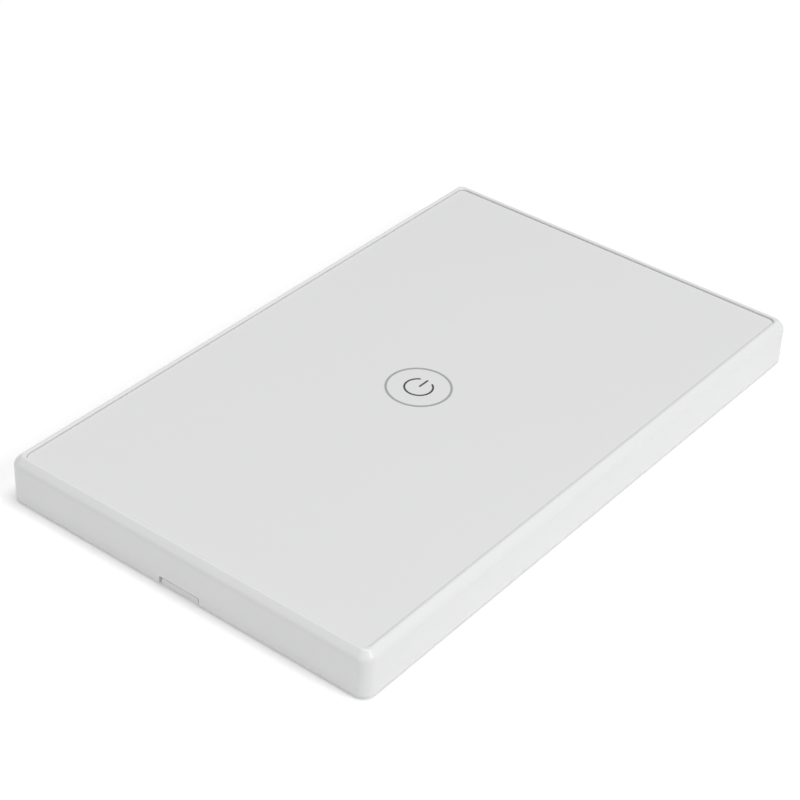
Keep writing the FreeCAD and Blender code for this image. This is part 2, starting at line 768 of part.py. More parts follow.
def battery_holder():
    """A square moulded frame that sinks through the board, with a flange that rests on it."""
    middle = ("0", CELL_PLACE)
    frame = block("holder_frame", (HOLDER_SIZE, HOLDER_SIZE, "holder_height"), middle,
                  HOLDER_BOTTOM)
    flange_length = f"({HOLDER_SIZE} + 2 * flange_reach)"
    flange = block("holder_flange", (flange_length, "flange_width", "flange_thickness"), middle,
                   BOARD_TOP)
    well = rod("holder_well", "cell_radius + cell_gap", "holder_height + cell_lift", middle,
               CELL_BOTTOM)
    seat = rod("holder_seat", SEAT_RADIUS, "cell_lift", middle, HOLDER_BOTTOM)
    clip_room = ("contact_width + 2 * cell_gap", "2 * (contact_thickness + cell_gap)",
                 "holder_height")
    clip_gap = block("holder_clip_gap", clip_room,
                     ("0", f"({CELL_PLACE} + cell_radius + cell_gap)"), CELL_BOTTOM)
    return minus("battery_holder", joined("holder_body", [frame, flange]),
                 joined("holder_cuts", [well, seat, clip_gap]))


def coin_cell():
    """A wide can over a narrower cap, cap down."""
    middle = ("0", CELL_PLACE)
    cap = rod("cell_cap", "cell_radius - cell_cap_step", "cell_cap_height", middle, CELL_BOTTOM)
    can = rod("cell_can", "cell_radius", "cell_thickness - cell_cap_height", middle,
              f"{CELL_BOTTOM} + cell_cap_height")
    return joined("coin_cell", [cap, can])


def negative_contact():
    """A leaf under the cell, from the holder's seat ring to the middle of the cap."""
    length = f"({SEAT_RADIUS} - contact_end_gap)"
    return block("negative_contact", ("contact_width", length, "contact_thickness"),
                 ("0", f"({CELL_PLACE} - {length} / 2)"), f"{CELL_BOTTOM} - contact_thickness")


def positive_contact():
    """A clip that stands beside the cell, laps over its edge and lands on the board."""
    inner_face = f"({CELL_PLACE} + cell_radius + cell_gap)"
    upright_y = f"({inner_face} + contact_thickness / 2)"
    cell_top = f"({CELL_BOTTOM} + cell_thickness)"
    upright = block("clip_upright", ("contact_width", "contact_thickness",
                                     f"({cell_top} + contact_thickness - {CELL_BOTTOM})"),
                    ("0", upright_y), CELL_BOTTOM)
    lap = block("clip_lap", ("contact_width", "contact_lap", "contact_thickness"),
                ("0", f"({inner_face} + contact_thickness - contact_lap / 2)"), cell_top)
    return joined("positive_contact", [upright, lap])


# --- the pairing button ---------------------------------------------------------------------------

def pair_switch():
    """The square base of a push switch, with a round well for its button."""
    middle = ("switch_x", "switch_y")
    base = block("switch_base", ("switch_size", "switch_size", "switch_height"), middle, BOARD_TOP)
    well = rod("switch_well", "button_radius + button_gap", "button_well", middle,
               f"{BOARD_TOP} + switch_height - button_well")
    return minus("pair_switch", base, well)


def pair_button():
    return rod("pair_button", "button_radius", "button_length", ("switch_x", "switch_y"),
               f"{BOARD_TOP} + switch_height - button_well + button_rest_gap")


SUBPARTS = [
    front_frame(),
    glass_panel(),
    sheet_of("glass_backing", BACKING, "(opening_radius - glass_gap)", BACKING_BACK,
             "backing_thickness"),
    glass_tape(),
    touch_ring_mark(),
    power_symbol_mark(),
    back_plate(),
    wall_pads(),
    control_board(),
    board_screws(),
    touch_spring(),
    light_guide(),
    indicator_leds(),
    leaded_chip("touch_chip", "touch_chip", lead_count=4, lead_pitch=1.27),
    leaded_chip("regulator_chip", "regulator", lead_count=2, lead_pitch=1.9),
    radio_module(),
    radio_shield(),
    antenna_coil(),
    crystal(),
    chip_row("chip_capacitors", CAPACITOR_PLACES, "capacitor"),
    chip_row("chip_resistors", RESISTOR_PLACES, "resistor"),
    storage_capacitor(),
    battery_holder(),
    coin_cell(),
    negative_contact(),
    positive_contact(),
    pair_switch(),
    pair_button(),
]

doc.recompute()

# --- checks, then one file for each sub-part ------------------------------------------------------

for item in doc.Objects:
    if "Invalid" in item.State or "Error" in item.State:
        raise RuntimeError(f"{item.Label} did not compute: {item.State}")
for subpart in SUBPARTS:
    if subpart.Shape.isNull() or not subpart.Shape.isValid():
        raise RuntimeError(f"{subpart.Label} has no valid shape")

os.makedirs("parts", exist_ok=True)
for subpart in SUBPARTS:
    subpart.Shape.exportStep(f"parts/{subpart.Label}.step")
    box = subpart.Shape.BoundBox
    print(f"{subpart.Label:20s} {len(subpart.Shape.Solids)} solid(s)  volume {subpart.Shape.Volume:9.2f}"
          f"  z {box.ZMin:6.2f} to {box.ZMax:6.2f}")
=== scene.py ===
# %% [markdown]
# # A touch wall switch, lying on its back
#
# The object is a slim wall plate.  A sheet of glass lies in a raised white frame, a printed ring and a
# power symbol mark the place to touch, and a tray behind holds a small circuit board and a coin cell.
# The imported model gives every part's place and size.  This lesson keeps them, makes the skin of most
# parts again with softer edges, and gives each part the finish of its real material.
#
# Lengths are written in millimetres, as a maker writes them, and turned into metres at the last moment.

import bpy
import numpy as np
from mathutils import Matrix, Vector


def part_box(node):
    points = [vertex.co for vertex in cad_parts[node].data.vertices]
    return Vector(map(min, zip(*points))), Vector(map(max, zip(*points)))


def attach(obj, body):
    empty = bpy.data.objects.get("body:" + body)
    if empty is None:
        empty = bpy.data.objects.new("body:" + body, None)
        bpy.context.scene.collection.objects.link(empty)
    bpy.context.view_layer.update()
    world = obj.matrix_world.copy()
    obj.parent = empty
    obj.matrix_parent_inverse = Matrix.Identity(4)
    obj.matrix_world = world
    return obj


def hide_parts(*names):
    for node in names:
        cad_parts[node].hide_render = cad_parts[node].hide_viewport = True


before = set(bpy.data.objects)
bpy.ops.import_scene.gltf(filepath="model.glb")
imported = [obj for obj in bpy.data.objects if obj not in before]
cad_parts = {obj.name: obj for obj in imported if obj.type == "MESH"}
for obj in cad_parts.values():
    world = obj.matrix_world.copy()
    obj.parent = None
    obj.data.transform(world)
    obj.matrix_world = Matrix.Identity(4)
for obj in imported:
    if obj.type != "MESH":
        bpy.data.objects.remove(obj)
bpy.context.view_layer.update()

MM = 0.001


def span(node):
    """The lowest and the highest corner of a CAD node, in millimetres."""
    low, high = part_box(node)
    return np.array(low) / MM, np.array(high) / MM


# %% [markdown]
# ## From numbers to a mesh
#
# A moulded, pressed or turned part is a surface with two directions on it: along the edge and round the
# section, or round the axis and down the side.  Such a surface could be modelled by hand in edit mode.
# Worked out as a grid of numbers, it follows its sizes exactly and can be made again at any time.
# Where a grid closes on itself, points fall on the same place, so they are joined before use.

# %% Join a grid's faces
def grid_faces(rows, columns, wrap_rows=False, wrap_columns=False):
    """Faces of a grid: each joins point (i, j) to the next row and the next column."""
    i = np.arange(rows if wrap_rows else rows - 1)[:, None]
    j = np.arange(columns if wrap_columns else columns - 1)[None, :]
    below, beside = (i + 1) % rows, (j + 1) % columns
    corners = (i * columns + j, below * columns + j, below * columns + beside, i * columns + beside)
    return np.stack(np.broadcast_arrays(*corners), axis=-1).reshape(-1, 4).tolist()


def weld(points, faces):
    """Join the points that share a place, drop faces that shrink to a line, and turn the skin out.

    The space inside is the sum over triangles of a . (b x c) / 6.  It is negative when the faces point
    inwards, and then every face is turned round.
    """
    places, index = np.unique(np.round(points, 5), axis=0, return_inverse=True)
    index = index.reshape(-1)
    rings = [list(dict.fromkeys(index[face].tolist())) for face in faces]
    rings = [ring for ring in rings if len(ring) > 2]
    triangles = np.array([(ring[0], b, c) for ring in rings for b, c in zip(ring[1:], ring[2:])])
    a, b, c = (places[triangles[:, corner]] for corner in range(3))
    if np.sum(a * np.cross(b, c)) < 0:
        rings = [ring[::-1] for ring in rings]
    return places, rings


# %% Put closed parts together as one piece
SHARP_OVER = 40


def dressed(number, *parts):
    """Closed parts that take the finish of that number."""
    return [(*part[:2], number) for part in parts]


def put_piece(name, parts, nodes, finishes, body="base"):
    """One mesh from closed parts, tied to its body; the CAD nodes that it stands for are hidden.

    A part is (points, faces) or (points, faces, number of its finish).
    """
    points, faces, finish_numbers = [], [], []
    for part in parts:
        start = sum(len(places) for places in points)
        places, rings = weld(*part[:2])
        points.append(places)
        faces += [[start + corner for corner in ring] for ring in rings]
        finish_numbers += [part[2] if len(part) > 2 else 0] * len(rings)
    mesh = bpy.data.meshes.new(name)
    mesh.from_pydata((np.vstack(points) * MM).tolist(), [], faces)
    mesh.polygons.foreach_set("material_index", finish_numbers)
    mesh.shade_smooth()
    mesh.set_sharp_from_angle(angle=np.radians(SHARP_OVER))
    for finish in finishes:
        mesh.materials.append(finish)
    piece = bpy.data.objects.new(name, mesh)
    bpy.context.scene.collection.objects.link(piece)
    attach(piece, body)
    if nodes:
        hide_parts(*nodes)
    print(f"{name}: {len(parts)} parts, {len(mesh.polygons)} faces")
    return piece


# %% [markdown]
# ## Edges that catch light
#
# No moulded edge is truly sharp.  A round of a few hundredths of a millimetre is enough to draw the
# bright line by which the eye reads an edge.  A Bevel modifier can add such rounds afterwards.  Here the
# outline is drawn with them, so that each edge has a radius of its own.

# %% Round the corners of an outline
def rounded(corners, radii, steps=4, closed=True, guard=0.05):
    """An outline whose corners are arcs.

    With unit vectors towards both neighbours and half the angle between them, h, the arc starts
    radius / tan h from the corner, and its centre lies radius / sin h along the middle line.  A guard
    point just outside each arc keeps the flat stretch beside it flat in the shading.
    """
    corners = np.array(corners, float)
    radii = np.broadcast_to(radii, len(corners))
    outline = []
    for number, corner in enumerate(corners):
        at_end = not closed and number in (0, len(corners) - 1)
        if at_end or radii[number] == 0:
            outline.append(corner[None])
            continue
        sides = corners[[number - 1, (number + 1) % len(corners)]] - corner
        sides /= np.linalg.norm(sides, axis=1, keepdims=True)
        half = np.arccos(np.clip(sides[0] @ sides[1], -1, 1)) / 2
        reach = radii[number] / np.tan(half)
        middle = sides.sum(axis=0) / np.linalg.norm(sides.sum(axis=0))
        centre = corner + middle * radii[number] / np.sin(half)
        first, last = (corner + side * reach - centre for side in sides)
        turn = np.pi - 2 * half
        share = np.linspace(0, 1, steps + 1)[:, None]
        arc = centre + (np.sin((1 - share) * turn) * first + np.sin(share * turn) * last) / np.sin(turn)
        before, after = (corner + side * (reach + guard) for side in sides)
        outline += [before[None], arc, after[None]]
    return np.vstack(outline)


def box_outline(low, high, radius, steps=3):
    """A rectangle between two corners of a plane, with round corners."""
    return rounded([(low[0], low[1]), (high[0], low[1]), (high[0], high[1]), (low[0], high[1])],
                   radius, steps, guard=0.02)


# %% Carry a profile round the plate
def carry_round(profile, half, least_radius, outer_radius, corner_steps=10, cap=False, notch=None):
    """Carry a profile of (inset, height) round a rectangle with round corners.

    At the turn t of a corner, a point is the corner's own centre, which is half - inset - radius along
    each axis, plus radius * (cos t, sin t).  The radius shrinks with the inset down to a least one.
    A notch is (half width, top, wall): between its sides, what is in the wall is lifted to its top.
    """
    inset, height = np.array(profile, float).T
    radius = np.maximum(outer_radius - inset, least_radius)
    quarter = np.linspace(0, np.pi / 2, corner_steps + 1)
    turn = np.concatenate([quarter + side * np.pi / 2 for side in range(4)])[:, None]
    sign_x = np.repeat([1, -1, -1, 1], corner_steps + 1)[:, None]
    sign_y = np.repeat([1, 1, -1, -1], corner_steps + 1)[:, None]
    x = sign_x * (half[0] - inset - radius) + radius * np.cos(turn)
    y = sign_y * (half[1] - inset - radius) + radius * np.sin(turn)
    rows = np.stack(np.broadcast_arrays(x, y, height), axis=-1)
    if notch:
        half_width, top, wall = notch
        lifted = np.where(inset <= wall, np.maximum(height, top), height)
        extra = [np.stack([np.full_like(inset, at), inset - half[1], level], axis=-1)
                 for at, level in ((-half_width, height), (-half_width, lifted),
                                   (half_width, lifted), (half_width, height))]
        before_last_corner = 3 * (corner_steps + 1)
        rows = np.concatenate([rows[:before_last_corner], extra, rows[before_last_corner:]])
    count, width = rows.shape[:2]
    faces = grid_faces(count, width, wrap_rows=True, wrap_columns=not cap)
    if cap:
        faces += [(np.arange(count) * width).tolist(), (np.arange(count) * width + width - 1).tolist()]
    return rows.reshape(-1, 3), faces


# %% Turn a profile about an upright axis
def lathe(profile, centre, steps=48, closed=False):
    """A profile of (radius, height) turned about an upright axis: x = r cos t, y = r sin t."""
    radius, height = np.array(profile, float).T
    turn = np.linspace(0, 2 * np.pi, steps, endpoint=False)[:, None]
    points = np.stack(np.broadcast_arrays(radius * np.cos(turn), radius * np.sin(turn), height), axis=-1)
    place = np.array([centre[0], centre[1], 0.0])
    faces = grid_faces(steps, len(radius), wrap_rows=True, wrap_columns=closed)
    return points.reshape(-1, 3) + place, faces


# %% Carry a section along a path
def carry(path, side, section, scale=1.0):
    """Carry a closed section along a path, with flat ends.

    The section's first direction lies along `side`, which may turn from point to point, and its second
    along (the way ahead) x side.
    """
    path = np.array(path, float)
    ahead = np.gradient(path, axis=0)
    side = np.broadcast_to(np.array(side, float), path.shape)
    up = np.cross(ahead, side)
    up /= np.linalg.norm(up, axis=1, keepdims=True)
    across, over = np.array(section, float).T
    scale = np.broadcast_to(scale, len(path))
    points = (path[:, None] + side[:, None] * (scale[:, None] * across)[..., None]
              + up[:, None] * over[None, :, None])
    count, width = points.shape[:2]
    faces = grid_faces(count, width, wrap_columns=True)
    faces += [list(range(width)), list(range((count - 1) * width, count * width))]
    return points.reshape(-1, 3), faces


def circle_section(radius, steps=10):
    turn = np.linspace(0, 2 * np.pi, steps, endpoint=False)
    return radius * np.stack([np.cos(turn), np.sin(turn)], axis=-1)


# %% A box with round edges
def soft_box(size, middle, radius, steps=2):
    """A box whose edges and corners are parts of a ball.

    Each point p of a plain box is pulled back to the nearest point q of the box that is smaller by the
    radius on every side, and is then set one radius from q along p - q.
    """
    half = np.array(size, float) / 2
    radius = min(radius, half.min() * 0.999)
    ease = radius * np.tan(np.linspace(0, np.pi / 4, steps + 1))
    points, faces = [], []
    for axis in range(3):
        u, v = (axis + 1) % 3, (axis + 2) % 3
        lines = [np.concatenate([-(half[k] - radius + ease[::-1]), half[k] - radius + ease])
                 for k in (u, v)]
        grid_u, grid_v = np.meshgrid(*lines, indexing="ij")
        for sign in (-1, 1):
            sheet = np.zeros(grid_u.shape + (3,))
            sheet[..., u], sheet[..., v], sheet[..., axis] = grid_u, grid_v, sign * half[axis]
            start = sum(len(part) for part in points)
            own = np.array(grid_faces(*grid_u.shape))
            faces += (start + (own if sign > 0 else own[:, ::-1])).tolist()
            points.append(sheet.reshape(-1, 3))
    points = np.vstack(points)
    inner = np.clip(points, -(half - radius), half - radius)
    out = points - inner
    out /= np.linalg.norm(out, axis=1, keepdims=True)
    return inner + radius * out + np.array(middle, float), faces


def box_between(low, high, radius, steps=2):
    """A soft box from its lowest to its highest corner."""
    low, high = np.array(low, float), np.array(high, float)
    return soft_box(high - low, (low + high) / 2, radius, steps)


# %% [markdown]
# ## A small language for finishes
#
# A finish is a shader with a few patterns in it: a colour that wanders a little, a gloss that isn't the
# same all over, and a fine relief.  Nodes can be placed one by one, but a formula is easier to read, so
# one small class lets a node's output take part in plain arithmetic.

# %% A socket that can be added and multiplied
class Value:
    """An output of a node, with Python's arithmetic."""

    def __init__(self, finish, socket):
        self.finish = finish
        self.socket = socket

    def maths(self, operation, *terms):
        return self.finish.node("Math", {"operation": operation}, dict(enumerate(terms)))

    def __add__(self, other):
        return self.maths("ADD", self, other)

    def __mul__(self, other):
        return self.maths("MULTIPLY", self, other)

    def __sub__(self, other):
        return self.maths("SUBTRACT", self, other)

    def __rsub__(self, other):
        return self.maths("SUBTRACT", other, self)

    __radd__ = __add__
    __rmul__ = __mul__


# %% A finish and its patterns
class Finish:
    """A material built round one shader, whose steady values stand on the shader's own sockets."""

    def __init__(self, name, sockets=None):
        self.material = bpy.data.materials.new(name)
        self.material.use_nodes = True
        self.tree = self.material.node_tree
        self.shader = self.tree.nodes["Principled BSDF"]
        self.fill(self.shader, sockets or {})
        self.place = self.node("TexCoord", output="Object")

    def fill(self, node, sockets):
        for name, value in sockets.items():
            if isinstance(value, Value):
                self.tree.links.new(value.socket, node.inputs[name])
            else:
                node.inputs[name].default_value = value

    def node(self, kind, settings=None, sockets=None, output=0):
        """Add a node: its settings come first, then the values or links of its sockets."""
        node = self.tree.nodes.new("ShaderNode" + kind)
        for name, value in (settings or {}).items():
            setattr(node, name, value)
        self.fill(node, sockets or {})
        return Value(self, node.outputs[output])

    def feed(self, **sockets):
        """Link varying values to the shader; an underline in a name stands for a space."""
        self.fill(self.shader, {name.replace("_", " "): value for name, value in sockets.items()})

    def noise(self, grain, detail=2.0, stretch=(1, 1, 1), roughness=0.5):
        """Cloudy noise from 0 to 1 whose lumps are about `grain` millimetres wide."""
        place = self.node("VectorMath", {"operation": "MULTIPLY"},
                          {0: self.place, 1: tuple(part / (grain * MM) for part in stretch)})
        return self.node("TexNoise", None, {"Vector": place, "Scale": 1.0, "Detail": detail,
                                            "Roughness": roughness}, "Fac")

    def cells(self, grain, feature="F1"):
        """Distance to the nearest of many scattered points, about `grain` millimetres apart."""
        return self.node("TexVoronoi", {"feature": feature},
                         {"Vector": self.place, "Scale": 1 / (grain * MM)}, "Distance")

    def ease(self, value, low, high):
        """0 below the low value, 1 above the high one, and a smooth step between them."""
        return self.node("MapRange", {"interpolation_type": "SMOOTHSTEP"},
                         {"Value": value, "From Min": low, "From Max": high}, "Result")

    def between(self, share, first, second):
        """A colour that goes from the first to the second as the share goes from 0 to 1."""
        return self.node("Mix", {"data_type": "RGBA"}, {0: share, 6: first, 7: second}, 2)

    def relief(self, height, depth, strength=1.0):
        """Bump from a height of 0 to 1 that stands `depth` millimetres proud."""
        normal = self.node("Bump", None, {"Height": height, "Distance": depth * MM,
                                          "Strength": strength}, "Normal")
        self.feed(Normal=normal)

    def paint(self, share, first, second, gloss, height=None):
        """Feed a colour between two, a roughness and a relief of (height, depth, strength)."""
        self.feed(Base_Color=self.between(share, first, second), Roughness=gloss)
        if height:
            self.relief(*height)
        return self.material


def tint(colour, factor=1.0):
    """A colour of three parts as a socket takes it, made lighter or darker."""
    return tuple(part * factor for part in colour) + (1.0,)


# %% [markdown]
# ## Moulded plastic
#
# Plastic copies its mould.  A polished mould gives a smooth skin with a faint orange peel, and a
# spark-eroded one gives a fine grain.  The colour is nearly even, because it is mixed into the pellets,
# but handling leaves slightly duller patches.  One recipe with a grain size and a depth covers them all.

# %% Moulded plastics
def moulded(name, colour, roughness, grain, depth):
    """Plastic whose colour and gloss wander slowly and whose skin has a fine grain."""
    finish = Finish(name)
    patches, skin = finish.noise(14.0, 3.0), finish.noise(grain, 4.0)
    return finish.paint(patches, tint(colour, 0.985), tint(colour, 1.012),
                        patches * 0.06 + skin * 0.08 + (roughness - 0.07), (skin, depth, 0.6))


FRAME_PLASTIC = moulded("frame_plastic", (0.815, 0.817, 0.82), 0.32, 0.5, 0.003)
BASE_PLASTIC = moulded("base_plastic", (0.85, 0.852, 0.855), 0.42, 0.25, 0.008)
HOLDER_BLACK = moulded("holder_black", (0.018, 0.018, 0.02), 0.45, 0.22, 0.012)
SWITCH_BLACK = moulded("switch_black", (0.022, 0.022, 0.024), 0.38, 0.12, 0.006)
BUTTON_BROWN = moulded("button_brown", (0.13, 0.06, 0.03), 0.4, 0.12, 0.005)

# %% [markdown]
# ## Glass over a white print
#
# The front is glass with an opaque white print on its back, so from in front it reads as one white,
# very smooth and very flat sheet.  Refracting glass would need many samples to bring the light back
# from the print, and the print is never seen by itself.  So the glass takes the print's white as its own
# colour, with the gloss of polished glass over it, and the print is a sheet of its own behind it.

# %% Glass, print and adhesive
def touch_glass():
    """Glass that is white from its print: a faint film of wiped smears changes only its gloss."""
    finish = Finish("panel_glass", {"IOR": 1.52})
    smears = finish.noise(9.0, 4.0, (1.0, 0.35, 1.0), 0.6)
    return finish.paint(finish.noise(25.0, 2.0), tint((0.785, 0.787, 0.787)),
                        tint((0.793, 0.795, 0.795)), finish.ease(smears, 0.35, 0.8) * 0.05 + 0.06)


def white_print():
    """Screen-printed enamel: even, with a faint mesh texture."""
    finish = Finish("backing_print")
    mesh = finish.noise(0.15, 2.0)
    return finish.paint(finish.noise(20.0, 2.0), tint((0.76, 0.765, 0.77)), tint((0.785, 0.787, 0.79)),
                        mesh * 0.1 + 0.5, (mesh, 0.002, 0.3))


def foam(name, colour, bubble):
    """Adhesive foam: small open bubbles in a soft matt skin."""
    finish = Finish(name, {"Sheen Weight": 0.3, "Sheen Roughness": 0.6})
    bubbles = finish.ease(finish.cells(bubble), 0.05, 0.5)
    fibres = finish.noise(0.5, 3.0)
    return finish.paint(fibres, tint(colour, 0.86), tint(colour, 1.08), fibres * 0.1 + 0.8,
                        (bubbles, 0.05, 0.8))


def printed(name, colour):
    """A line of ink on glass: slightly uneven in density, glossier than paper."""
    finish = Finish(name)
    density = finish.noise(0.12, 3.0)
    return finish.paint(density, tint(colour, 0.88), tint(colour, 1.12), density * 0.12 + 0.22,
                        (density, 0.004, 0.4))


PANEL_GLASS = touch_glass()
BACKING_PRINT = white_print()
ADHESIVE_TAPE = foam("adhesive_tape", (0.55, 0.55, 0.53), 0.12)
PAD_FOAM = foam("pad_foam", (0.62, 0.62, 0.6), 0.3)
MARK_GREY = printed("mark_grey", (0.40, 0.41, 0.42))
MARK_DARK = printed("mark_dark", (0.07, 0.073, 0.08))

# %% [markdown]
# ## Metals
#
# Plated steel and tin are seen by what they reflect.  Their colour hardly varies, but the gloss does:
# drawing a wire or rolling a sheet leaves fine lines in one direction, and solder or fingers leave
# cloudy spots.  Noise that is stretched along one axis makes those lines.

# %% Plated, drawn and rolled metals
def plated(name, colour, roughness, lines=(1, 1, 1)):
    """Metal with fine stretched lines and cloudy spots in its gloss."""
    finish = Finish(name, {"Metallic": 1.0})
    drawn, spots = finish.noise(0.12, 3.0, lines), finish.noise(1.6, 4.0)
    return finish.paint(spots, tint(colour, 0.86), tint(colour, 1.06),
                        drawn * 0.14 + spots * 0.12 + (roughness - 0.12), (drawn, 0.002, 0.5))


ALONG_X, ALONG_Y = (0.08, 1, 1), (1, 0.08, 1)
SCREW_STEEL = plated("screw_steel", (0.62, 0.62, 0.6), 0.28)
SPRING_STEEL = plated("spring_steel", (0.66, 0.65, 0.62), 0.24)
SHIELD_TIN = plated("shield_tin", (0.7, 0.7, 0.68), 0.32, ALONG_X)
ANTENNA_COPPER = plated("antenna_copper", (0.72, 0.36, 0.2), 0.26)
CELL_STEEL = plated("cell_steel", (0.72, 0.71, 0.68), 0.22, ALONG_Y)
CONTACT_NICKEL = plated("contact_nickel", (0.7, 0.68, 0.62), 0.25, ALONG_Y)
TINNED_END = plated("tinned_end", (0.74, 0.74, 0.73), 0.3)

# %% [markdown]
# ## The board and its small parts
#
# A circuit board is glass cloth in resin under a glossy green mask.  The cloth's weave shows as a faint
# relief, and the mask is lighter over copper.  Chips are matt moulded resin, and ceramic capacitors and
# resistors are fired and speckled.

# %% Laminate, resin and ceramic
WEAVE_SCALE = 1.92


def laminate(name, colour):
    """Masked glass cloth: two crossed waves make the weave, and clouds make the copper below."""
    finish = Finish(name, {"Coat Weight": 0.5, "Coat Roughness": 0.12})
    wave = {"wave_type": "BANDS", "bands_direction": "X"}
    cross = {"wave_type": "BANDS", "bands_direction": "Y"}
    scale = {"Vector": finish.place, "Scale": 1 / (WEAVE_SCALE * MM), "Distortion": 0.4}
    weave = finish.node("TexWave", wave, scale, "Fac") * finish.node("TexWave", cross, scale, "Fac")
    copper = finish.ease(finish.noise(7.0, 1.0), 0.47, 0.53)
    return finish.paint(copper, tint(colour, 0.92), tint(colour, 1.1), weave * 0.08 + 0.3,
                        (weave, 0.008, 0.5))


def fired(name, colour, speck, roughness):
    """Fired or cast material: dark and light specks in an even body."""
    finish = Finish(name)
    specks = finish.noise(0.06, 3.0)
    return finish.paint(finish.ease(specks, 0.35, 0.7), tint(colour), tint(speck),
                        specks * 0.15 + (roughness - 0.07), (specks, 0.006, 0.5))


def clear(name, colour, alpha, roughness):
    """Clear moulding: pale, mostly see-through, with faint flow lines in its gloss."""
    finish = Finish(name, {"Base Color": tint(colour), "Alpha": alpha, "IOR": 1.49})
    flow = finish.noise(1.5, 3.0, (1.0, 0.3, 1.0))
    finish.feed(Roughness=flow * 0.08 + roughness)
    finish.relief(flow, 0.004, 0.4)
    return finish.material


BOARD_LAMINATE = laminate("board_laminate", (0.012, 0.14, 0.06))
MODULE_LAMINATE = laminate("module_laminate", (0.012, 0.03, 0.1))
TRACK_MASK = laminate("track_mask", (0.03, 0.26, 0.11))
CHIP_BLACK = fired("chip_black", (0.016, 0.016, 0.018), (0.035, 0.035, 0.038), 0.6)
CAPACITOR_CERAMIC = fired("capacitor_ceramic", (0.42, 0.29, 0.17), (0.52, 0.39, 0.25), 0.5)
RESISTOR_BLACK = fired("resistor_black", (0.012, 0.012, 0.014), (0.03, 0.03, 0.035), 0.35)
ALUMINA = fired("alumina", (0.72, 0.72, 0.7), (0.8, 0.8, 0.78), 0.5)
TANTALUM_YELLOW = fired("tantalum_yellow", (0.72, 0.4, 0.05), (0.8, 0.5, 0.1), 0.45)
TANTALUM_BAND = fired("tantalum_band", (0.3, 0.1, 0.02), (0.36, 0.14, 0.03), 0.45)
CLEAR_ACRYLIC = clear("clear_acrylic", (0.82, 0.87, 0.88), 0.5, 0.06)
LED_RESIN = clear("led_resin", (0.85, 0.78, 0.35), 0.9, 0.2)

# %% [markdown]
# ## The frame
#
# The white frame is one moulding: a skirt that comes down to the wall, a broad chamfer, a narrow flat
# land round the glass, an inner wall and a ledge that the glass is stuck to.  It could be cut from a
# block with booleans.  Here its section is drawn once, every edge with its own round, and carried round
# the plate, which is also how light runs along it without a break.  The middle of the lower short side
# has a slot for a screwdriver: between the slot's sides the foot of the section is lifted.

# %% The frame's section, carried round the plate
low, high = span("front_frame")
FRAME_HALF = high[:2]
FRAME_TOP, FRAME_FOOT = high[2], low[2]
FRAME_CORNER, INNER_CORNER = 2.2, 1.2
CHAMFER, RIM_WIDTH, SKIRT_WALL = 1.2, 1.8, 1.2
LEDGE_WIDTH, LEDGE_THICKNESS = 4.0, 1.2
NOTCH_HALF_WIDTH, NOTCH_TOP = 4.15, 1.75

ledge_top = span("glass_tape")[0][2]
ledge_edge = RIM_WIDTH + LEDGE_WIDTH
section = rounded(
    [(0, FRAME_FOOT), (0, NOTCH_TOP), (0, FRAME_TOP - CHAMFER), (CHAMFER, FRAME_TOP),
     (RIM_WIDTH, FRAME_TOP), (RIM_WIDTH, ledge_top), (ledge_edge, ledge_top),
     (ledge_edge, ledge_top - LEDGE_THICKNESS), (SKIRT_WALL, ledge_top - LEDGE_THICKNESS),
     (SKIRT_WALL, NOTCH_TOP), (SKIRT_WALL, FRAME_FOOT)],
    [0.3, 0, 1.4, 0.25, 0.3, 0.15, 0.15, 0.15, 0.2, 0, 0.12], steps=6)
frame_skin = carry_round(section, FRAME_HALF, INNER_CORNER, FRAME_CORNER, corner_steps=16,
                         notch=(NOTCH_HALF_WIDTH, NOTCH_TOP, SKIRT_WALL))

# %% Its eight ribs, which press into the tray's wall
RIB_LENGTH, RIB_REACH, RIB_FOOT, RIB_ROOT = 5.0, 1.0, 1.9, 0.4
RIB_AT_LONG_SIDE, RIB_AT_SHORT_SIDE = 30.0, 20.0


def rib(side, at, along_y):
    """One rib: it reaches inwards from the skirt, and its root is sunk into the wall."""
    reach = FRAME_HALF[0 if along_y else 1] - SKIRT_WALL
    middle = side * (reach + (RIB_ROOT - RIB_REACH) / 2)
    depth = RIB_REACH + RIB_ROOT
    top = ledge_top - LEDGE_THICKNESS + RIB_ROOT
    size = (depth, RIB_LENGTH) if along_y else (RIB_LENGTH, depth)
    place = (middle, at) if along_y else (at, middle)
    return soft_box((*size, top - RIB_FOOT), (*place, (top + RIB_FOOT) / 2), 0.2)


ribs = [rib(side, at * other, along_y) for side in (-1, 1) for other in (-1, 1)
        for at, along_y in ((RIB_AT_LONG_SIDE, True), (RIB_AT_SHORT_SIDE, False))]
put_piece("frame_moulding", [frame_skin, *ribs], ["front_frame"], [FRAME_PLASTIC],
          "cover")

# %% [markdown]
# ## Glass, print and tape
#
# Toughened glass is cut, its edges are ground to a small bevel called an arris, and only then is it
# hardened.  The print behind it stops just short of the edge, and a frame of tape holds it to the ledge.
# Each is a flat sheet with round corners, so one function carries their short edge profiles round.

# %% Sheets with round corners
SHEET_CORNER, SHEET_BORDER, GLASS_ARRIS, PRINT_EDGE = 1.15, 0.6, 0.08, 0.03


def sheet_skin(node, edge):
    """A flat sheet that fills a node's box, with an eased edge and round corners."""
    low, high = span(node)
    inner = edge + SHEET_BORDER
    profile = rounded([(inner, low[2]), (0, low[2]), (0, high[2]), (inner, high[2])], edge, 3,
                      closed=False)
    return carry_round(profile, (high - low)[:2] / 2, SHEET_CORNER - edge, SHEET_CORNER, cap=True)


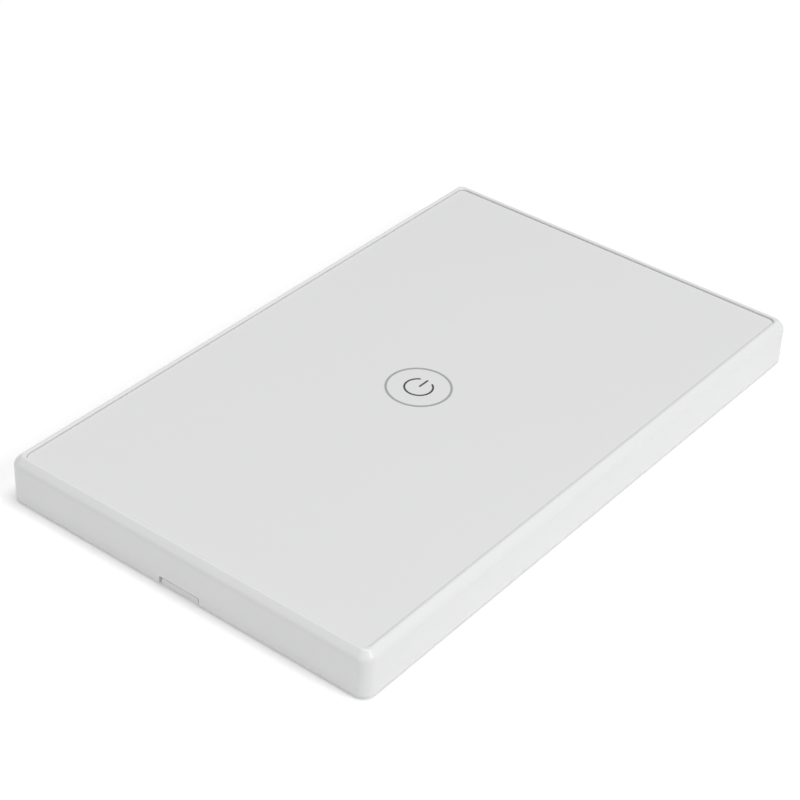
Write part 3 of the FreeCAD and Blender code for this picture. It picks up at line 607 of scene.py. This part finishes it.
put_piece("glass_sheet", [sheet_skin("glass_panel", GLASS_ARRIS)], ["glass_panel"],
          [PANEL_GLASS], "cover")
put_piece("glass_print", [sheet_skin("glass_backing", PRINT_EDGE)], ["glass_backing"],
          [BACKING_PRINT], "cover")

# %% The ring of tape
TAPE_WIDTH, TAPE_EDGE, TAPE_INNER_CORNER = 2.8, 0.06, 0.3
low, high = span("glass_tape")
tape_section = box_outline((0, low[2]), (TAPE_WIDTH, high[2]), TAPE_EDGE)
tape_skin = carry_round(tape_section, high[:2], TAPE_INNER_CORNER, SHEET_CORNER)
put_piece("tape_frame", [tape_skin], ["glass_tape"], [ADHESIVE_TAPE], "cover")

# %% [markdown]
# ## The touch mark
#
# A thin grey ring and a power symbol are printed on the glass.  Flat curves with a bevel would do, but
# the ends of such a line stay square.  Here a flat section is carried along each line, and over the last
# half width it narrows as a circle does, so the ends are round like a printed stroke.

# %% Printed lines with round ends
low, high = span("touch_ring_mark")
MARK_MIDDLE = (low + high)[:2] / 2
MARK_BOTTOM, MARK_TOP = low[2], high[2]
RING_OUTER = (high - low)[0] / 2
RING_LINE, SYMBOL_LINE = 0.4, 0.33
ARC_RADIUS, ARC_GAP = 2.45, 57.0
STEM_START, STEM_END = 0.15, 2.64


def stroke(path, line, bottom, top):
    """A flat line along a path, with round ends.

    At the distance s from an end, the half width is sqrt(r^2 - (r - s)^2) while s is under r.
    """
    path = np.array(path, float)
    run = np.concatenate([[0], np.cumsum(np.linalg.norm(np.diff(path, axis=0), axis=1))])
    radius = line / 2
    left = np.clip(radius - np.minimum(run, run[-1] - run), 0, radius)
    width = np.sqrt(np.maximum(radius ** 2 - left ** 2, 0)) / radius
    ahead = np.gradient(path, axis=0)
    ahead /= np.linalg.norm(ahead, axis=1, keepdims=True)
    side = np.stack([ahead[:, 1], -ahead[:, 0], np.zeros(len(path))], axis=-1)
    middle = np.column_stack([path, np.full(len(path), (bottom + top) / 2)])
    half = (top - bottom) / 2
    section = [(-radius, -half), (radius, -half), (radius, half), (-radius, half)]
    return carry(middle, side, section, width)


def eased_share(run, line, count=40, end_count=8):
    """Shares of a run from 0 to 1, close together over the last half width at both ends."""
    end = line / 2 / run * (1 - np.cos(np.linspace(0, np.pi / 2, end_count)))
    return np.concatenate([end, np.linspace(end[-1], 1 - end[-1], count)[1:-1], 1 - end[::-1]])


# %% The ring and the power symbol
ring_section = box_outline((RING_OUTER - RING_LINE, MARK_BOTTOM), (RING_OUTER, MARK_TOP), 0.01, 1)
put_piece("ring_line", [lathe(ring_section, MARK_MIDDLE, 128, closed=True)], ["touch_ring_mark"],
          [MARK_GREY], "cover")

arc_turn = np.radians(360 - ARC_GAP)
share = eased_share(ARC_RADIUS * arc_turn, SYMBOL_LINE, 80)
angle = np.radians(90 + ARC_GAP / 2) + share * arc_turn
arc_path = MARK_MIDDLE + ARC_RADIUS * np.stack([np.cos(angle), np.sin(angle)], axis=-1)
stem_run = STEM_END - STEM_START
stem = STEM_START + stem_run * eased_share(stem_run, SYMBOL_LINE, 10)
stem_path = MARK_MIDDLE + np.stack([np.zeros_like(stem), stem], axis=-1)
put_piece("power_line", [stroke(path, SYMBOL_LINE, MARK_BOTTOM, MARK_TOP)
                         for path in (arc_path, stem_path)],
          ["power_symbol_mark"], [MARK_DARK], "cover")

# %% [markdown]
# ## What stays as the model has it
#
# The tray, the board, the battery holder and the switch base have slots, bosses and wells that the
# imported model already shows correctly.  Making them again would add nothing, so they keep their own
# mesh and only take a finish.

# %% Finishes for carried-over parts
CARRIED = {"back_plate": BASE_PLASTIC, "control_board": BOARD_LAMINATE,
           "battery_holder": HOLDER_BLACK, "pair_switch": SWITCH_BLACK}
for node, finish in CARRIED.items():
    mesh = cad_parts[node].data
    mesh.materials.clear()
    mesh.materials.append(finish)
print("carried over:", ", ".join(CARRIED))

# %% [markdown]
# ## Behind the plate: foam pads
#
# Two strips of adhesive foam are let into the tray's back.  Die-cut foam has crisp outlines but soft
# upper edges, so each strip is a box with a small round.

# %% Two foam strips
low, high = span("wall_pads")
PAD_WIDTH, PAD_EDGE = 12.0, 0.15
pads = [box_between(low, (low[0] + PAD_WIDTH, *high[1:]), PAD_EDGE),
        box_between((high[0] - PAD_WIDTH, *low[1:]), high, PAD_EDGE)]
put_piece("foam_strips", pads, ["wall_pads"], [PAD_FOAM])

# %% [markdown]
# ## Screws
#
# A pan-head screw is turned and rolled, and its cross is punched in cold.  So its head is a turned
# profile, and the cross is a smooth dent in it: the depth is full where a point lies within the cross's
# half width of either axis, and eases to nothing over a few hundredths of a millimetre.

# %% Four pan-head screws
SCREW_HEAD_RADIUS, SCREW_HEAD_HEIGHT, SCREW_SHANK_RADIUS = 1.9, 1.1, 1.0
CROWN_INSET, CROWN_DROP, SHOULDER_DROP = 0.25, 0.18, 0.35
CROSS_HALF_WIDTH, CROSS_REACH, CROSS_DEPTH = 0.25, 1.1, 0.6
BOARD_TOP = span("control_board")[1][2]


def ease(value, low, high):
    """A smooth step of an array: 3 s^2 - 2 s^3, with s going from 0 at low to 1 at high."""
    s = np.clip((value - low) / (high - low), 0, 1)
    return s * s * (3 - 2 * s)


def screw(middle, foot):
    """A screw from its foot to its crowned head, with the cross pressed into the crown."""
    head_top = BOARD_TOP + SCREW_HEAD_HEIGHT
    face = np.linspace(0, SCREW_HEAD_RADIUS - CROWN_INSET, 24)
    crown = np.stack([face, head_top - CROWN_DROP * (face / SCREW_HEAD_RADIUS) ** 2], axis=-1)
    rest = rounded([crown[-1], (SCREW_HEAD_RADIUS, head_top - SHOULDER_DROP),
                    (SCREW_HEAD_RADIUS, BOARD_TOP), (SCREW_SHANK_RADIUS, BOARD_TOP),
                    (SCREW_SHANK_RADIUS, foot), (0, foot)],
                   [0, 0.2, 0.08, 0, 0.1, 0], steps=3, closed=False)
    points, faces = lathe(np.vstack([crown, rest[1:]]), middle, 96)
    x, y = np.abs(points[:, 0] - middle[0]), np.abs(points[:, 1] - middle[1])
    across, along = np.minimum(x, y), np.maximum(x, y)
    dent = ease(across, CROSS_HALF_WIDTH + 0.06, CROSS_HALF_WIDTH - 0.03)
    dent *= ease(along, CROSS_REACH + 0.06, CROSS_REACH - 0.1)
    on_face = points[:, 2] > head_top - 0.3
    points[:, 2] -= np.where(on_face, CROSS_DEPTH * dent, 0)
    return points, faces


low, high = span("board_screws")
reach_x, reach_y = high[:2] - SCREW_HEAD_RADIUS
screws = [screw((side_x * reach_x, side_y * reach_y), low[2])
          for side_x in (-1, 1) for side_y in (-1, 1)]
put_piece("pan_screws", screws, ["board_screws"], [SCREW_STEEL])

# %% [markdown]
# ## Wire parts
#
# The touch spring and the antenna are wire wound on a rod.  Blender's Screw modifier could wind them.
# The formula is as short: along a helix the point is radius * (cos t, sin t) with a rise of one pitch
# for each turn, and the wire's round section is carried along it, always facing away from the axis.
# Solder climbs each end a little, so it stands in a low cone with a soft shoulder.

# %% The touch spring under the glass
def helix(radius, pitch, turns, steps=36):
    """Points of a helix about Z from height 0, and for each the direction away from the axis."""
    t = np.linspace(0, 2 * np.pi * turns, int(steps * turns) + 1)
    away = np.stack([np.cos(t), np.sin(t), np.zeros_like(t)], axis=-1)
    return radius * away + np.array([0, 0, 1]) * (pitch * t / (2 * np.pi))[:, None], away


def solder_foot(middle, wide, narrow, shoulder, top, soft):
    """A low cone of solder: its two radii, and the heights of its shoulder and of its top."""
    cone = rounded([(0, BOARD_TOP), (wide, BOARD_TOP), (narrow, BOARD_TOP + shoulder),
                    (0, BOARD_TOP + top)], [0, 0.03, soft, 0], closed=False)
    return lathe(cone, middle, 20)


SPRING_RADIUS, SPRING_WIRE, SPRING_TURNS = 3.1, 0.5, 3
low, high = span("touch_spring")
spring_start = BOARD_TOP + SPRING_WIRE / 2
spring_rise = high[2] - SPRING_WIRE / 2 - spring_start
path, away = helix(SPRING_RADIUS, spring_rise / SPRING_TURNS, SPRING_TURNS)
path += (*MARK_MIDDLE, spring_start)
foot = solder_foot(MARK_MIDDLE + (SPRING_RADIUS, 0), 0.5, 0.4, 0.35, 0.4, 0.12)
put_piece("touch_coil", [carry(path, away, circle_section(SPRING_WIRE / 2)), *dressed(1, foot)],
          ["touch_spring"], [SPRING_STEEL, TINNED_END])

# %% The antenna
ANTENNA_RADIUS, ANTENNA_WIRE, ANTENNA_PITCH, ANTENNA_TURNS = 0.8, 0.4, 1.2, 10
low, high = span("antenna_coil")
antenna_axis = high[2] - ANTENNA_RADIUS - ANTENNA_WIRE / 2
path, away = helix(ANTENNA_RADIUS, ANTENNA_PITCH, ANTENNA_TURNS, 28)
lay_down = np.array([[0, 0, 1], [0, 1, 0], [-1, 0, 0]]).T
path, away = path @ lay_down.T, away @ lay_down.T
path += ((low[0] + high[0]) / 2 - ANTENNA_PITCH * ANTENNA_TURNS / 2, (low[1] + high[1]) / 2,
         antenna_axis)
feet = [solder_foot(end[:2], 0.45, 0.22, 0.3, 0.4, 0.1) for end in (path[0], path[-1])]
put_piece("antenna_wire", [carry(path, away, circle_section(ANTENNA_WIRE / 2)), *dressed(1, *feet)],
          ["antenna_coil"], [ANTENNA_COPPER, TINNED_END])

# %% [markdown]
# ## Light under the ring
#
# A clear ring stands on three legs over three small light sources, and spreads their light under the
# printed ring.  Ring and legs are turned profiles.  A light source is a white body with a low yellow
# dome of resin on it.

# %% The light guide
low, high = span("light_guide")
GUIDE_OUTER, GUIDE_INNER, GUIDE_LIFT = (high - low)[0] / 2, 4.4, 0.8
GUIDE_LEG, LEG_SINK = 0.55, 0.3
GUIDE_MIDDLE = (GUIDE_OUTER + GUIDE_INNER) / 2


def around_mark(angle):
    """The place at an angle, in degrees, on the guide's middle circle."""
    turn = np.radians(angle)
    return MARK_MIDDLE + GUIDE_MIDDLE * np.array([np.cos(turn), np.sin(turn)])


def peg(middle, radius, bottom, top, foot_edge, top_edge, dome=0.0, steps=20):
    """An upright round peg, with an edge of its own at each end and a top that may be domed."""
    profile = rounded([(0, bottom), (radius, bottom), (radius, top), (0, top + dome)],
                      [0, foot_edge, top_edge, 0], closed=False)
    return lathe(profile, middle, steps)


guide_section = box_outline((GUIDE_INNER, BOARD_TOP + GUIDE_LIFT), (GUIDE_OUTER, high[2]), 0.2)
legs = [peg(around_mark(angle), GUIDE_LEG, BOARD_TOP, BOARD_TOP + GUIDE_LIFT + LEG_SINK, 0.08, 0.05)
        for angle in (30, 150, 270)]
put_piece("guide_ring", [lathe(guide_section, MARK_MIDDLE, 96, closed=True), *legs], ["light_guide"],
          [CLEAR_ACRYLIC])

# %% Three light sources
def block_at(x, y, half_x, half_y, bottom, top, edge, steps=2):
    """A soft box that stands upright round a place on the board."""
    return box_between((x - half_x, y - half_y, bottom), (x + half_x, y + half_y, top), edge, steps)


LED_HALF, LED_DOME_HALF, LED_BODY = (0.8, 0.4), (0.48, 0.36), 0.35
LED_END_AT, LED_END_HALF, LED_END_PROUD = 0.656, 0.12, 0.04
led_top = span("indicator_leds")[1][2]
sources = []
for angle in (90, 210, 330):
    x, y = around_mark(angle)
    body = block_at(x, y, *LED_HALF, BOARD_TOP, BOARD_TOP + LED_BODY, 0.05)
    dome = block_at(x, y, *LED_DOME_HALF, BOARD_TOP + LED_BODY / 2, led_top, 0.22, 4)
    ends = [block_at(x + side * LED_END_AT, y, LED_END_HALF, LED_HALF[1], BOARD_TOP,
                     BOARD_TOP + LED_BODY + LED_END_PROUD, 0.04) for side in (-1, 1)]
    sources += [*dressed(1, body), dome, *dressed(2, *ends)]
put_piece("light_sources", sources, ["indicator_leds"], [LED_RESIN, ALUMINA, TINNED_END])

# %% [markdown]
# ## Chips with bent leads
#
# A leaded chip is resin moulded round a stamped metal frame, whose leads are bent down and out to stand
# on the board.  The body's sides lean by a few degrees so that it leaves the mould, and a small dimple
# marks the first lead.  The lead is a flat section carried along a bent line.

# %% A chip body with leaning sides
def chip_body(low, high, waist, lean=0.12, edge=0.08):
    """A box that is widest at the height of its waist and leans in above and below it."""
    middle, half = (low + high)[:2] / 2, (high - low)[:2] / 2
    profile = rounded([(0.8, low[2]), (lean, low[2]), (0, waist), (lean, high[2]), (0.8, high[2])],
                      [0, edge, 0.03, edge, 0], steps=2, closed=False)
    points, faces = carry_round(profile, half, 0.1, 0.2, corner_steps=3, cap=True)
    return points + (*middle, 0.0), faces


def lead(x, y_root, direction, reach, waist, width=0.42, thickness=0.18):
    """A gull-wing lead: out of the body at its waist, down, and out again along the board."""
    knee, toe = y_root + direction * reach * 0.3, y_root + direction * reach
    sole = BOARD_TOP + thickness / 2
    line = rounded([(y_root - direction * 0.15, waist), (knee, waist), (knee + direction * 0.12, sole),
                    (toe, sole)], [0, 0.12, 0.12, 0], closed=False, guard=0.01)
    path = np.column_stack([np.full(len(line), x), line])
    half = (width / 2, thickness / 2)
    return carry(path, (1, 0, 0), box_outline((-half[0], -half[1]), half, 0.03, 2))


# %% The two chips
DIMPLE_INSET, CHIP_LIFT = 0.75, 0.12


def leaded_chip(name, node, lead_count, pitch, reach):
    """A chip with leads along both long sides; a big one has a dimple by its first lead."""
    low, high = span(node)
    body_low = low + (0, reach, CHIP_LIFT)
    body_high = high - (0, reach, 0)
    waist = (body_low[2] + body_high[2]) / 2
    parts = [chip_body(body_low, body_high, waist)]
    if lead_count > 2:
        dimple = [(0, high[2] - 0.01), (0.22, high[2] - 0.01), (0.28, high[2]), (0, high[2])]
        parts += dressed(2, lathe(dimple, body_low[:2] + DIMPLE_INSET, 24))
    middle = (low[0] + high[0]) / 2
    for number in range(lead_count):
        x = middle + (number - (lead_count - 1) / 2) * pitch
        parts += dressed(1, *[lead(x, edge, direction, reach, waist)
                              for edge, direction in ((body_low[1], -1), (body_high[1], 1))])
    put_piece(name, parts, [node], [CHIP_BLACK, TINNED_END, RESISTOR_BLACK])


leaded_chip("touch_chip_resin", "touch_chip", 4, 1.27, 1.05)
leaded_chip("regulator_resin", "regulator_chip", 2, 1.9, 0.6)

# %% [markdown]
# ## Small soldered parts
#
# Chip capacitors and resistors are tiny bricks with tinned ends.  The ends wrap over the body, so they
# are separate boxes a few hundredths of a millimetre larger.  One function makes them all from the place
# of each body.

# %% Bricks with tinned ends
CAPACITOR_SIZE, CAPACITOR_PLACES = (2.0, 1.25, 0.9), ((-4.0, -9.5), (4.0, -9.5), (-17.0, -9.0),
                                                      (1.5, -17.0), (1.5, -20.0), (18.0, -28.5))
RESISTOR_SIZE, RESISTOR_PLACES = (1.6, 0.8, 0.5), ((-17.0, -6.0), (8.5, -9.5), (13.0, -9.5),
                                                   (-4.5, -19.5), (-4.5, -22.0))
BRICK_EDGE, END_PROUD = 0.06, 0.02
FILM_HALF, FILM_THICKNESS = (0.45, 0.33), 0.1


def brick(size, place, end_share, body_finish=0):
    """A body between two tinned ends, all standing on the board."""
    length, width, height = size
    x, y = place
    end, top = length * end_share, BOARD_TOP + height
    body = block_at(x, y, (length - end) / 2, width / 2 - END_PROUD, BOARD_TOP, top - END_PROUD,
                    BRICK_EDGE)
    ends = [block_at(x + side * (length - end) / 2, y, end / 2, width / 2, BOARD_TOP, top, BRICK_EDGE)
            for side in (-1, 1)]
    return dressed(body_finish, body) + dressed(1, *ends)


capacitors = [part for place in CAPACITOR_PLACES for part in brick(CAPACITOR_SIZE, place, 0.22)]
put_piece("capacitor_bricks", capacitors, ["chip_capacitors"],
          [CAPACITOR_CERAMIC, TINNED_END])

resistors = [part for place in RESISTOR_PLACES for part in brick(RESISTOR_SIZE, place, 0.2, 2)]
film_top = BOARD_TOP + RESISTOR_SIZE[2]
resistors += [block_at(x, y, *FILM_HALF, film_top - FILM_THICKNESS, film_top, 0.02)
              for x, y in RESISTOR_PLACES]
put_piece("resistor_bricks", resistors, ["chip_resistors"],
          [RESISTOR_BLACK, TINNED_END, ALUMINA])

# %% The storage capacitor with its band
low, high = span("storage_capacitor")
BAND_START, BAND_END, BAND_INSET, BAND_DEPTH = 0.45, 1.0, 0.13, 0.2
CLIP_THICKNESS, CLIP_HALF_WIDTH, CLIP_HEIGHT = 0.5, 1.1, 0.8
body = chip_body(low + (0.15, 0, 0.1), high - (0.15, 0, 0), (low[2] + high[2]) / 2)
band = box_between((low[0] + BAND_START, low[1] + BAND_INSET, high[2] - BAND_DEPTH),
                   (low[0] + BAND_END, high[1] - BAND_INSET, high[2]), 0.02)
middle_y = (low[1] + high[1]) / 2
ends = [box_between((x, middle_y - CLIP_HALF_WIDTH, low[2]),
                    (x + CLIP_THICKNESS, middle_y + CLIP_HALF_WIDTH, low[2] + CLIP_HEIGHT), 0.06)
        for x in (low[0], high[0] - CLIP_THICKNESS)]
put_piece("storage_block", [body, *dressed(1, band), *dressed(2, *ends)], ["storage_capacitor"],
          [TANTALUM_YELLOW, TANTALUM_BAND, TINNED_END])

# %% The crystal in its metal lid
low, high = span("crystal")
CRYSTAL_STEP, CRYSTAL_BASE = 0.25, 0.5
lid = box_between(low + (CRYSTAL_STEP, CRYSTAL_STEP, CRYSTAL_BASE - 0.1),
                  high - (CRYSTAL_STEP, CRYSTAL_STEP, 0), 0.14, 3)
base = box_between(low, (high[0], high[1], low[2] + CRYSTAL_BASE), 0.06)
put_piece("crystal_can", [lid, *dressed(1, base)], ["crystal"],
          [SHIELD_TIN, CHIP_BLACK])

# %% [markdown]
# ## The radio module
#
# The radio is a daughter board with half-round plated edges and a tinned can over its circuits.  The can
# is folded from sheet, so its upper edges have a clear radius, and a shallow rib runs round its foot.

# %% Daughter board and can
low, high = span("radio_module")
PAD_PITCH, EDGE_PADS, PAD_HALF, PAD_PROUD = 1.27, 7, (0.45, 0.4), 0.02
module_parts = [box_between(low, high, 0.05)]
for number in range(EDGE_PADS):
    y = (low[1] + high[1]) / 2 + (number - (EDGE_PADS - 1) / 2) * PAD_PITCH
    module_parts += dressed(1, *[block_at(x, y, *PAD_HALF, low[2], high[2] + PAD_PROUD, 0.02)
                                 for x in (low[0] + PAD_HALF[0], high[0] - PAD_HALF[0])])
put_piece("module_board", module_parts, ["radio_module"],
          [MODULE_LAMINATE, CONTACT_NICKEL])

low, high = span("radio_shield")
CAN_INSET, RIB_HEIGHT = 0.15, 0.35
can = box_between(low + (CAN_INSET, CAN_INSET, 0), high - (CAN_INSET, CAN_INSET, 0), 0.3, 4)
foot_rib = box_between(low, (high[0], high[1], low[2] + RIB_HEIGHT), 0.1)
put_piece("shield_can", [can, foot_rib], ["radio_shield"], [SHIELD_TIN])

# %% [markdown]
# ## The coin cell and its contacts
#
# A coin cell is a shallow can with its rim rolled over a smaller cap.  It is turned from one profile.
# The contacts are stamped strips: one lies under the cell, and one stands beside it and laps over its
# edge.

# %% The cell
low, high = span("coin_cell")
CELL_RADIUS, CAP_RADIUS, CAP_HEIGHT = (high - low)[0] / 2, 8.6, 0.3
cell_middle = (low + high)[:2] / 2
cell_profile = rounded(
    [(0, low[2]), (CAP_RADIUS, low[2]), (CAP_RADIUS, low[2] + CAP_HEIGHT),
     (CELL_RADIUS, low[2] + CAP_HEIGHT), (CELL_RADIUS, high[2]), (CELL_RADIUS - 0.9, high[2]),
     (CELL_RADIUS - 1.1, high[2] - 0.06), (0, high[2] - 0.06)],
    [0, 0.2, 0.05, 0.5, 0.35, 0.1, 0.1, 0], steps=5, closed=False)
put_piece("cell_can", [lathe(cell_profile, cell_middle, 128)], ["coin_cell"],
          [CELL_STEEL])

# %% Contacts bent from strip
CONTACT_THICKNESS = 0.2
low, high = span("positive_contact")
contact_middle = (low[0] + high[0]) / 2
half = ((high - low)[0] / 2, CONTACT_THICKNESS / 2)
strip = box_outline((-half[0], -half[1]), half, 0.04, 2)
centre_y, centre_z = high[1] - half[1], high[2] - half[1]
line = rounded([(centre_y, low[2]), (centre_y, centre_z), (low[1], centre_z)], [0, 0.12, 0], 5,
               closed=False, guard=0.02)
path = np.column_stack([np.full(len(line), contact_middle), line])
put_piece("positive_clip", [carry(path, (1, 0, 0), strip)], ["positive_contact"],
          [CONTACT_NICKEL])
put_piece("negative_leaf", [box_between(*span("negative_contact"), 0.06)], ["negative_contact"],
          [CONTACT_NICKEL])

# %% [markdown]
# ## The pairing button
#
# The button is a short plunger in a square switch, whose metal plate is held by four rivets.  The plate
# has a round hole in a square, so its skin runs from a circle to a square as one turns round the middle.

# %% Plunger and plate
low, high = span("pair_button")
BUTTON_RADIUS = (high - low)[0] / 2
button_middle = (low + high)[:2] / 2
plunger = peg(button_middle, BUTTON_RADIUS, low[2], high[2], 0.05, 0.22, steps=40)
put_piece("button_plunger", [plunger], ["pair_button"], [BUTTON_BROWN], "button")


def pierced_plate(middle, half, hole, bottom, top, steps=96):
    """A square plate with a round hole: each ray runs from the circle to its point on the square."""
    t = np.linspace(0, 2 * np.pi, steps, endpoint=False) + np.pi / steps
    ray = np.stack([np.cos(t), np.sin(t)], axis=-1)
    edge = half * ray / np.abs(ray).max(axis=1, keepdims=True)
    rings = [(hole * ray, bottom), (edge, bottom), (edge, top - 0.03), (edge * 0.98, top),
             (hole * ray * 1.03, top), (hole * ray, top - 0.03)]
    points = np.stack([np.column_stack([ring, np.full(steps, z)]) for ring, z in rings], axis=1)
    return points.reshape(-1, 3) + (*middle, 0.0), grid_faces(steps, len(rings), True, True)


SWITCH_HALF, PLATE_HOLE, RIVET, RIVET_AT = 2.15, 1.3, 0.28, 1.6
switch_top = span("pair_switch")[1][2]
plate = pierced_plate(button_middle, SWITCH_HALF, PLATE_HOLE, switch_top - 0.05, switch_top + 0.12)
rivets = [peg(button_middle + (x, y), RIVET, switch_top, switch_top + 0.22, 0, 0.1, dome=0.02)
          for x in (-RIVET_AT, RIVET_AT) for y in (-RIVET_AT, RIVET_AT)]
put_piece("switch_plate", [plate, *dressed(1, *rivets)], [], [SHIELD_TIN, SWITCH_BLACK])

# %% [markdown]
# ## Copper tracks
#
# Tracks are etched copper under the mask, seen as slightly raised lighter lines.  A texture could draw
# them, but real raised lines catch the light.  Each track is a stroke along a few points, turned by
# 45 degrees as a board designer turns them, with a round land at each end.

# %% Tracks and lands
TRACK_WIDTH, TRACK_HEIGHT, LAND_RADIUS, LAND_HEIGHT, TRACK_BEND = 0.45, 0.03, 0.4, 0.04, 0.8
TRACK_ROUTES = (
    ((-8.0, -9.0), (-8.0, -6.0), (-4.5, -2.5)), ((-13.0, -17.0), (-15.0, -18.5), (-15.0, -23.5)),
    ((-10.0, -17.5), (-10.0, -21.0), (-7.5, -23.5), (-5.5, -24.0)), ((6.0, -9.5), (10.0, -13.0)),
    ((-2.5, -9.5), (2.5, -9.5)), ((-2.8, -17.0), (0.0, -17.0)), ((3.0, -17.0), (4.5, -17.0)),
    ((3.0, -20.0), (4.5, -20.0)), ((12.0, -25.0), (12.0, -28.0), (0.5, -31.0)),
    ((19.0, -11.0), (20.5, -13.0), (20.5, -26.5), (19.5, -28.0)), ((16.5, -8.5), (14.5, -9.5)),
    ((-20.0, 4.0), (-20.0, -4.0), (-18.5, -5.5)), ((20.0, 4.0), (20.0, -6.0)),
    ((-12.0, 6.5), (-12.0, 1.5), (-9.5, -1.0)), ((13.5, -2.0), (16.0, -4.5), (16.0, -7.0)))


def track(route):
    """A straight-sided stroke through the points, with its corners eased."""
    line = rounded(route, TRACK_BEND, closed=False)
    run = np.linalg.norm(np.diff(line, axis=0), axis=1)
    line = line[np.concatenate([[True], run > 1e-6])]
    return stroke(line, TRACK_WIDTH, BOARD_TOP - 0.01, BOARD_TOP + TRACK_HEIGHT)


tracks = []
for route in TRACK_ROUTES:
    tracks.append(track(route))
    tracks += dressed(1, *[peg(end, LAND_RADIUS, BOARD_TOP, BOARD_TOP + LAND_HEIGHT, 0, 0)
                           for end in (route[0], route[-1])])
put_piece("board_tracks", tracks, [], [TRACK_MASK, CONTACT_NICKEL])

# %% [markdown]
# ## Floor, light and camera
#
# The switch lies on a bright white table, which stands a hair lower than the switch, so that the two
# don't share a plane, and has an opening under the tray, so that the tray can be seen from below.  Even
# light from all round keeps the shadows open.  A large soft lamp overhead lights the top, a smaller one
# on the right makes the right side the brightest face, and a faint one in front brightens the rim's
# inner wall.

# %% A white table
FLOOR_HALF, FLOOR_DROP, OPENING_INSET = 3000.0, 0.03, 1.0
opening_half = span("back_plate")[1][:2] - OPENING_INSET
floor_mesh = bpy.data.meshes.new("floor")
floor_corners = [(x * half_x * MM, y * half_y * MM, -FLOOR_DROP * MM)
                 for half_x, half_y in ((FLOOR_HALF, FLOOR_HALF), opening_half)
                 for x, y in ((-1, -1), (1, -1), (1, 1), (-1, 1))]
floor_mesh.from_pydata(floor_corners, [], [[0, 1, 5, 4], [1, 2, 6, 5], [2, 3, 7, 6], [3, 0, 4, 7]])
floor = bpy.data.objects.new("floor", floor_mesh)
bpy.context.scene.collection.objects.link(floor)
FLOOR_GLOW = 0.17
table = Finish("table_white", {"Emission Color": tint((1.0, 1.0, 1.0)), "Emission Strength": FLOOR_GLOW,
                               "Specular IOR Level": 0.0})
speckle = table.noise(60.0, 2.0)
table.feed(Base_Color=table.between(speckle, tint((0.9, 0.9, 0.9)), tint((0.92, 0.92, 0.92))),
           Roughness=speckle * 0.05 + 0.8)
floor_mesh.materials.append(table.material)

# %% Even light and three soft lamps
SKY_STRENGTH = 0.26
LAMP_DISTANCE = 1.5
world = bpy.data.worlds.new("studio")
bpy.context.scene.world = world
world.use_nodes = True
world.node_tree.nodes["Background"].inputs["Color"].default_value = tint((1.0, 1.0, 1.0))
world.node_tree.nodes["Background"].inputs["Strength"].default_value = SKY_STRENGTH
bpy.context.scene.view_settings.view_transform = "Standard"


def direction(azimuth, elevation):
    """The unit vector towards an angle from +X, turning towards +Y, and a height above the table."""
    turn, rise = np.radians([azimuth, elevation])
    return np.array([np.cos(turn) * np.cos(rise), np.sin(turn) * np.cos(rise), np.sin(rise)])


def aim(towards, roll=0.0):
    """The axes of a lamp or camera that looks along a direction: right, up and backwards."""
    towards = np.array(towards) / np.linalg.norm(towards)
    right = np.cross(towards, (0, 0, 1))
    right /= np.linalg.norm(right)
    up = np.cross(right, towards)
    turn = np.radians(roll)
    return np.stack([np.cos(turn) * right + np.sin(turn) * up,
                     np.cos(turn) * up - np.sin(turn) * right, -towards], axis=-1)


def stand(thing, place, axes):
    """Put a lamp or a camera in its place, given in metres."""
    matrix = np.eye(4)
    matrix[:3, :3], matrix[:3, 3] = axes, place
    thing.matrix_world = Matrix(matrix.tolist())
    bpy.context.scene.collection.objects.link(thing)


def soft_lamp(name, azimuth, elevation, size, power):
    """A round soft lamp that faces the switch."""
    lamp = bpy.data.lights.new(name, "AREA")
    lamp.shape, lamp.size, lamp.energy = "DISK", size, power
    to_lamp = direction(azimuth, elevation)
    stand(bpy.data.objects.new(name, lamp), to_lamp * LAMP_DISTANCE, aim(-to_lamp))


soft_lamp("overhead", 20.0, 86.0, 0.9, 12.9)
soft_lamp("side", 10.0, 38.0, 0.6, 5.8)
soft_lamp("front", -75.0, 32.0, 0.9, 1.2)

# %% The camera
LENS, VIEW_AZIMUTH, VIEW_ELEVATION, VIEW_ROLL = 99.24, 36.686, 35.105, 2.869
VIEW_DISTANCE = 369.76
AIM_POINT = np.array([-0.02, -5.67, span("glass_panel")[1][2]])
to_camera = direction(VIEW_AZIMUTH - 90, VIEW_ELEVATION)
camera = bpy.data.cameras.new("camera")
camera.lens = LENS
camera.clip_start = 0.01
camera_stand = bpy.data.objects.new("camera", camera)
stand(camera_stand, (AIM_POINT + to_camera * VIEW_DISTANCE) * MM, aim(-to_camera, VIEW_ROLL))
bpy.context.scene.camera = camera_stand
print("camera at, mm:", np.round(AIM_POINT + to_camera * VIEW_DISTANCE, 2))
